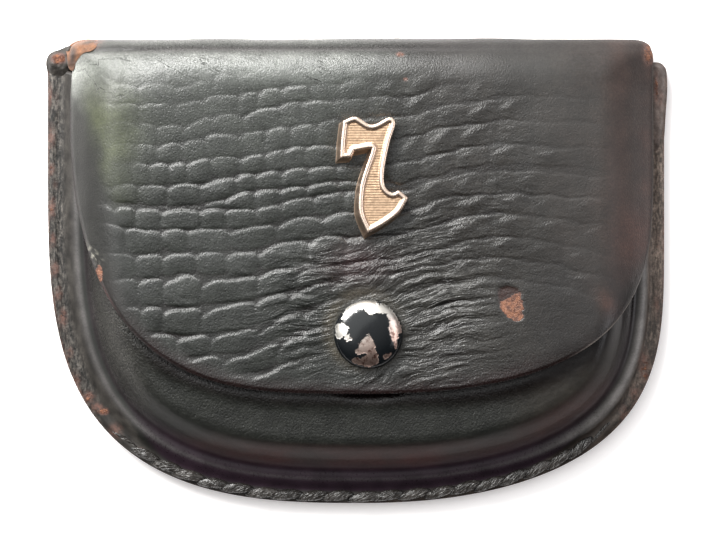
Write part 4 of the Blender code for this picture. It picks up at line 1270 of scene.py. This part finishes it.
def leather(name, grain, grain_depth, roughness, crease_depth=0, level=0.5):
    """Black leather whose grain layer is worn through to bare tan hide in places."""
    s = Shader(bpy.data.materials.new(name))
    cloud = s.noise(3.5, 4)
    wear = s.attribute("wear")
    even = s.attribute("grain")

    # Colour: speckled, flecked and rubbed black, and bare hide where it is worn through
    speckled = s.math("MULTIPLY", s.ramp(s.noise(0.35), 0.3, 0.75, -0.35, 0.5),
                      s.math("MULTIPLY_ADD", even, 0.7, 0.3))
    tone = s.mix(1, s.attribute("tone", "Color"), s.math("ADD", speckled, 1), "MULTIPLY")
    tone = s.mix(1, tone, s.ramp(cloud, 0.3, 0.7, 0.8, 1.25), "MULTIPLY")
    flecks = s.ramp(s.noise(0.7, 4, 0.6, (1.9, 0.6, 1)), 0.38, 0.66, 0.2, 2.6)
    tone = s.mix(s.attribute("fleck"), tone, s.mix(1, tone, flecks, "MULTIPLY"))
    rub = s.math("MULTIPLY", s.ramp(wear, 0.12, 0.6), s.ramp(s.noise(0.7, 4), 0.3, 0.65, 0.2, 1))
    tone = s.mix(rub, tone, (0.125, 0.062, 0.048))
    ragged = s.math("ADD", wear, s.ramp(s.noise(0.9, 5, 0.65), 0, 1, -0.5, 0.5))
    bare = s.ramp(ragged, 0.5, 0.68)
    hide = s.mix(s.ramp(s.noise(0.8, 4), 0.42, 0.62), (0.2, 0.084, 0.046), (0.08, 0.032, 0.021))
    hide = s.mix(s.ramp(s.noise(0.3), 0.5, 0.85), hide, (0.36, 0.2, 0.135))
    color = s.mix(bare, tone, hide)
    rough = s.ramp(s.noise(0.5), 0.2, 0.8, roughness - 0.05, roughness + 0.08)
    rough = s.math("MULTIPLY_ADD", bare, 0.3, rough)
    rough = s.math("MULTIPLY_ADD", s.attribute("shine"), -0.12, rough)

    # Relief: pores and grain, creases and cracks, and the nap of bare hide
    pores = s.add("TexVoronoi", {"Vector": s.coordinates["Object"], "Scale": 1 / (grain * MM)})
    pores = s.math("MULTIPLY", even, s.ramp(pores.outputs["Distance"], 0, 0.6))
    relief = s.bump(pores, grain_depth * 0.6)
    fine = s.math("MULTIPLY", even, s.noise(grain * 0.5, stretch=(1, 0.55, 1)))
    relief = s.bump(fine, grain_depth * 1.6, relief)
    if crease_depth:
        folds = s.math("MULTIPLY", s.fan_noise(3.6, 0.8), s.attribute("crease"))
        relief = s.bump(folds, crease_depth, relief)
        strokes = s.math("SUBTRACT", s.noise(0.42, 1.5, stretch=(2, 0.6, 1), turn=0.45), 0.5)
        relief = s.bump(s.math("MULTIPLY", strokes, s.attribute("ridge")), 0.14, relief)
        long_cracks = s.line(s.noise(12, 6, 0.55, (0.3, 1, 1), 0.42), 0.004)
        short_cracks = s.line(s.noise(4, 5, 0.6, (0.35, 1, 1), 0.42), 0.006)
        crack = s.math("MAXIMUM", long_cracks, s.math("MULTIPLY", short_cracks, 0.15))
        cracked = s.math("MULTIPLY", s.attribute("cracked"), s.ramp(cloud, 0.4, 0.6))
        crack = s.math("MULTIPLY", crack, cracked)
        color = s.mix(crack, color, (0.008, 0.008, 0.007))
        relief = s.bump(s.math("SUBTRACT", 1, crack), 0.07, relief)
    relief = s.bump(s.math("MULTIPLY", bare, s.noise(0.3, 5, 0.7)), 0.25, relief)
    return s.finish(base_color=color, roughness=rough, normal=relief, specular_ior_level=level)


def chipped_enamel():
    """Glossy black enamel over plated steel, which shows where the enamel is chipped off."""
    s = Shader(bpy.data.materials.new("chipped_enamel"))
    bare = s.attribute("bare")
    tarnish = s.attribute("tarnish")
    steel = s.mix(tarnish, (0.7, 0.67, 0.62), (0.56, 0.4, 0.34))
    spots = s.math("MULTIPLY", s.ramp(s.noise(0.8, 5, 0.65), 0.5, 0.62), tarnish)
    steel = s.mix(spots, steel, (0.16, 0.07, 0.055))
    rough = s.mix(bare, (0.15, 0.15, 0.15), (0.32, 0.32, 0.32))
    rough = s.math("ADD", rough, s.ramp(s.noise(0.4, 4), 0.4, 0.9, 0, 0.12))
    return s.finish(base_color=s.mix(bare, (0.004, 0.005, 0.006), steel), metallic=bare,
                    roughness=rough, normal=s.bump(s.noise(0.18, 4), 0.006),
                    specular_ior_level=0.35)


def brushed_steel():
    s = Shader(bpy.data.materials.new("plated_steel_finish"))
    color = s.mix(s.ramp(s.noise(0.9, 4), 0.4, 0.75), (0.62, 0.61, 0.59), (0.36, 0.31, 0.27))
    rough = s.ramp(s.noise(0.3, stretch=(1, 1, 8)), 0.2, 0.8, 0.24, 0.45)
    return s.finish(base_color=color, metallic=1, roughness=rough,
                    normal=s.bump(s.noise(0.15), 0.008))


def rose_brass():
    """Rose-gold brass: bright on the rim, tan with dust in the field."""
    s = Shader(bpy.data.materials.new("rose_brass"))
    polish = s.attribute("polish")
    dust = s.ramp(s.noise(0.5, 4), 0.35, 0.75)
    field = s.mix(dust, (0.5, 0.35, 0.235), (0.35, 0.235, 0.155))
    rough = s.mix(polish, (0.42, 0.42, 0.42), (0.25, 0.25, 0.25))
    rough = s.math("ADD", rough, s.ramp(s.noise(0.2, 4), 0.4, 0.9, 0, 0.12))
    return s.finish(base_color=s.mix(polish, field, (0.84, 0.66, 0.54)), metallic=1,
                    roughness=rough, normal=s.bump(s.noise(0.12), 0.006))


def pale_floor():
    s = Shader(bpy.data.materials.new("pale_floor"))
    color = s.mix(s.noise(60), (0.93, 0.905, 0.9), (0.94, 0.915, 0.91))
    return s.finish(base_color=color, roughness=0.9, specular_ior_level=0.1,
                    emission_color=(1, 0.96, 0.95), emission_strength=0.25)


def make_floor():
    mesh = bpy.data.meshes.new("floor")
    corners = [(x * HALF_FLOOR, y * HALF_FLOOR, 0) for x, y in ((-1, -1), (1, -1), (1, 1), (-1, 1))]
    mesh.from_pydata(corners, [], [(0, 1, 2, 3)])
    mesh.materials.append(pale_floor())
    floor = new_object("floor", mesh)


def set_stage():
    """Pale floor, a soft window on the fold's side, and a room that is bright towards it."""
    make_floor()
    for name, (place, size, power, color) in LAMPS.items():
        data = bpy.data.lights.new(name, "AREA")
        data.shape = "RECTANGLE"
        data.size, data.size_y = size
        data.energy = power
        data.color = color
        lamp = new_object(name, data)
        lamp.location = place
        lamp.rotation_euler = (-lamp.location).to_track_quat("-Z", "Y").to_euler()
    world = bpy.data.worlds.new("soft_room")
    room = Shader(world)
    towards = room.add("VectorMath", {0: room.coordinates["Generated"],
                                      1: Vector(BRIGHT_SIDE).normalized()},
                       operation="DOT_PRODUCT").outputs["Value"]
    room.fill(world.node_tree.nodes["Background"], {
        "Color": (1, 1, 1), "Strength": room.ramp(towards, 0, 1.1, 0.05, 1.3)})
    bpy.context.scene.world = world
    bpy.context.scene.view_settings.view_transform = "Standard"


def set_camera():
    """Look straight down, from far enough that the sides hardly show."""
    data = bpy.data.cameras.new("camera")
    data.lens = LENS
    data.sensor_width = SENSOR
    camera = new_object("camera", data)
    distance = FRAME_WIDTH * LENS / SENSOR
    camera.location = Vector((*VIEW_CENTRE, distance + VIEW_LEVEL)) * MM
    bpy.context.scene.camera = camera


def build_wallet():
    embossed = leather("embossed_leather_finish", 0.4, 0.055, 0.37, 0.09)
    moulded = leather("moulded_leather_finish", 0.45, 0.055, 0.42, level=0.28)
    corded = leather("corded_leather_finish", 0.3, 0.03, 0.34, 0.16)
    steel = brushed_steel()
    build_sheet(embossed)
    build_pocket(moulded)
    build_rim_cord(corded)
    build_cap(chipped_enamel(), steel)
    build_numeral(rose_brass())
    build_corners(embossed, moulded)
    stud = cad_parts["snap_stud"]
    stud.data.materials.clear()
    stud.data.materials.append(steel)


build_wallet()
set_stage()
set_camera()
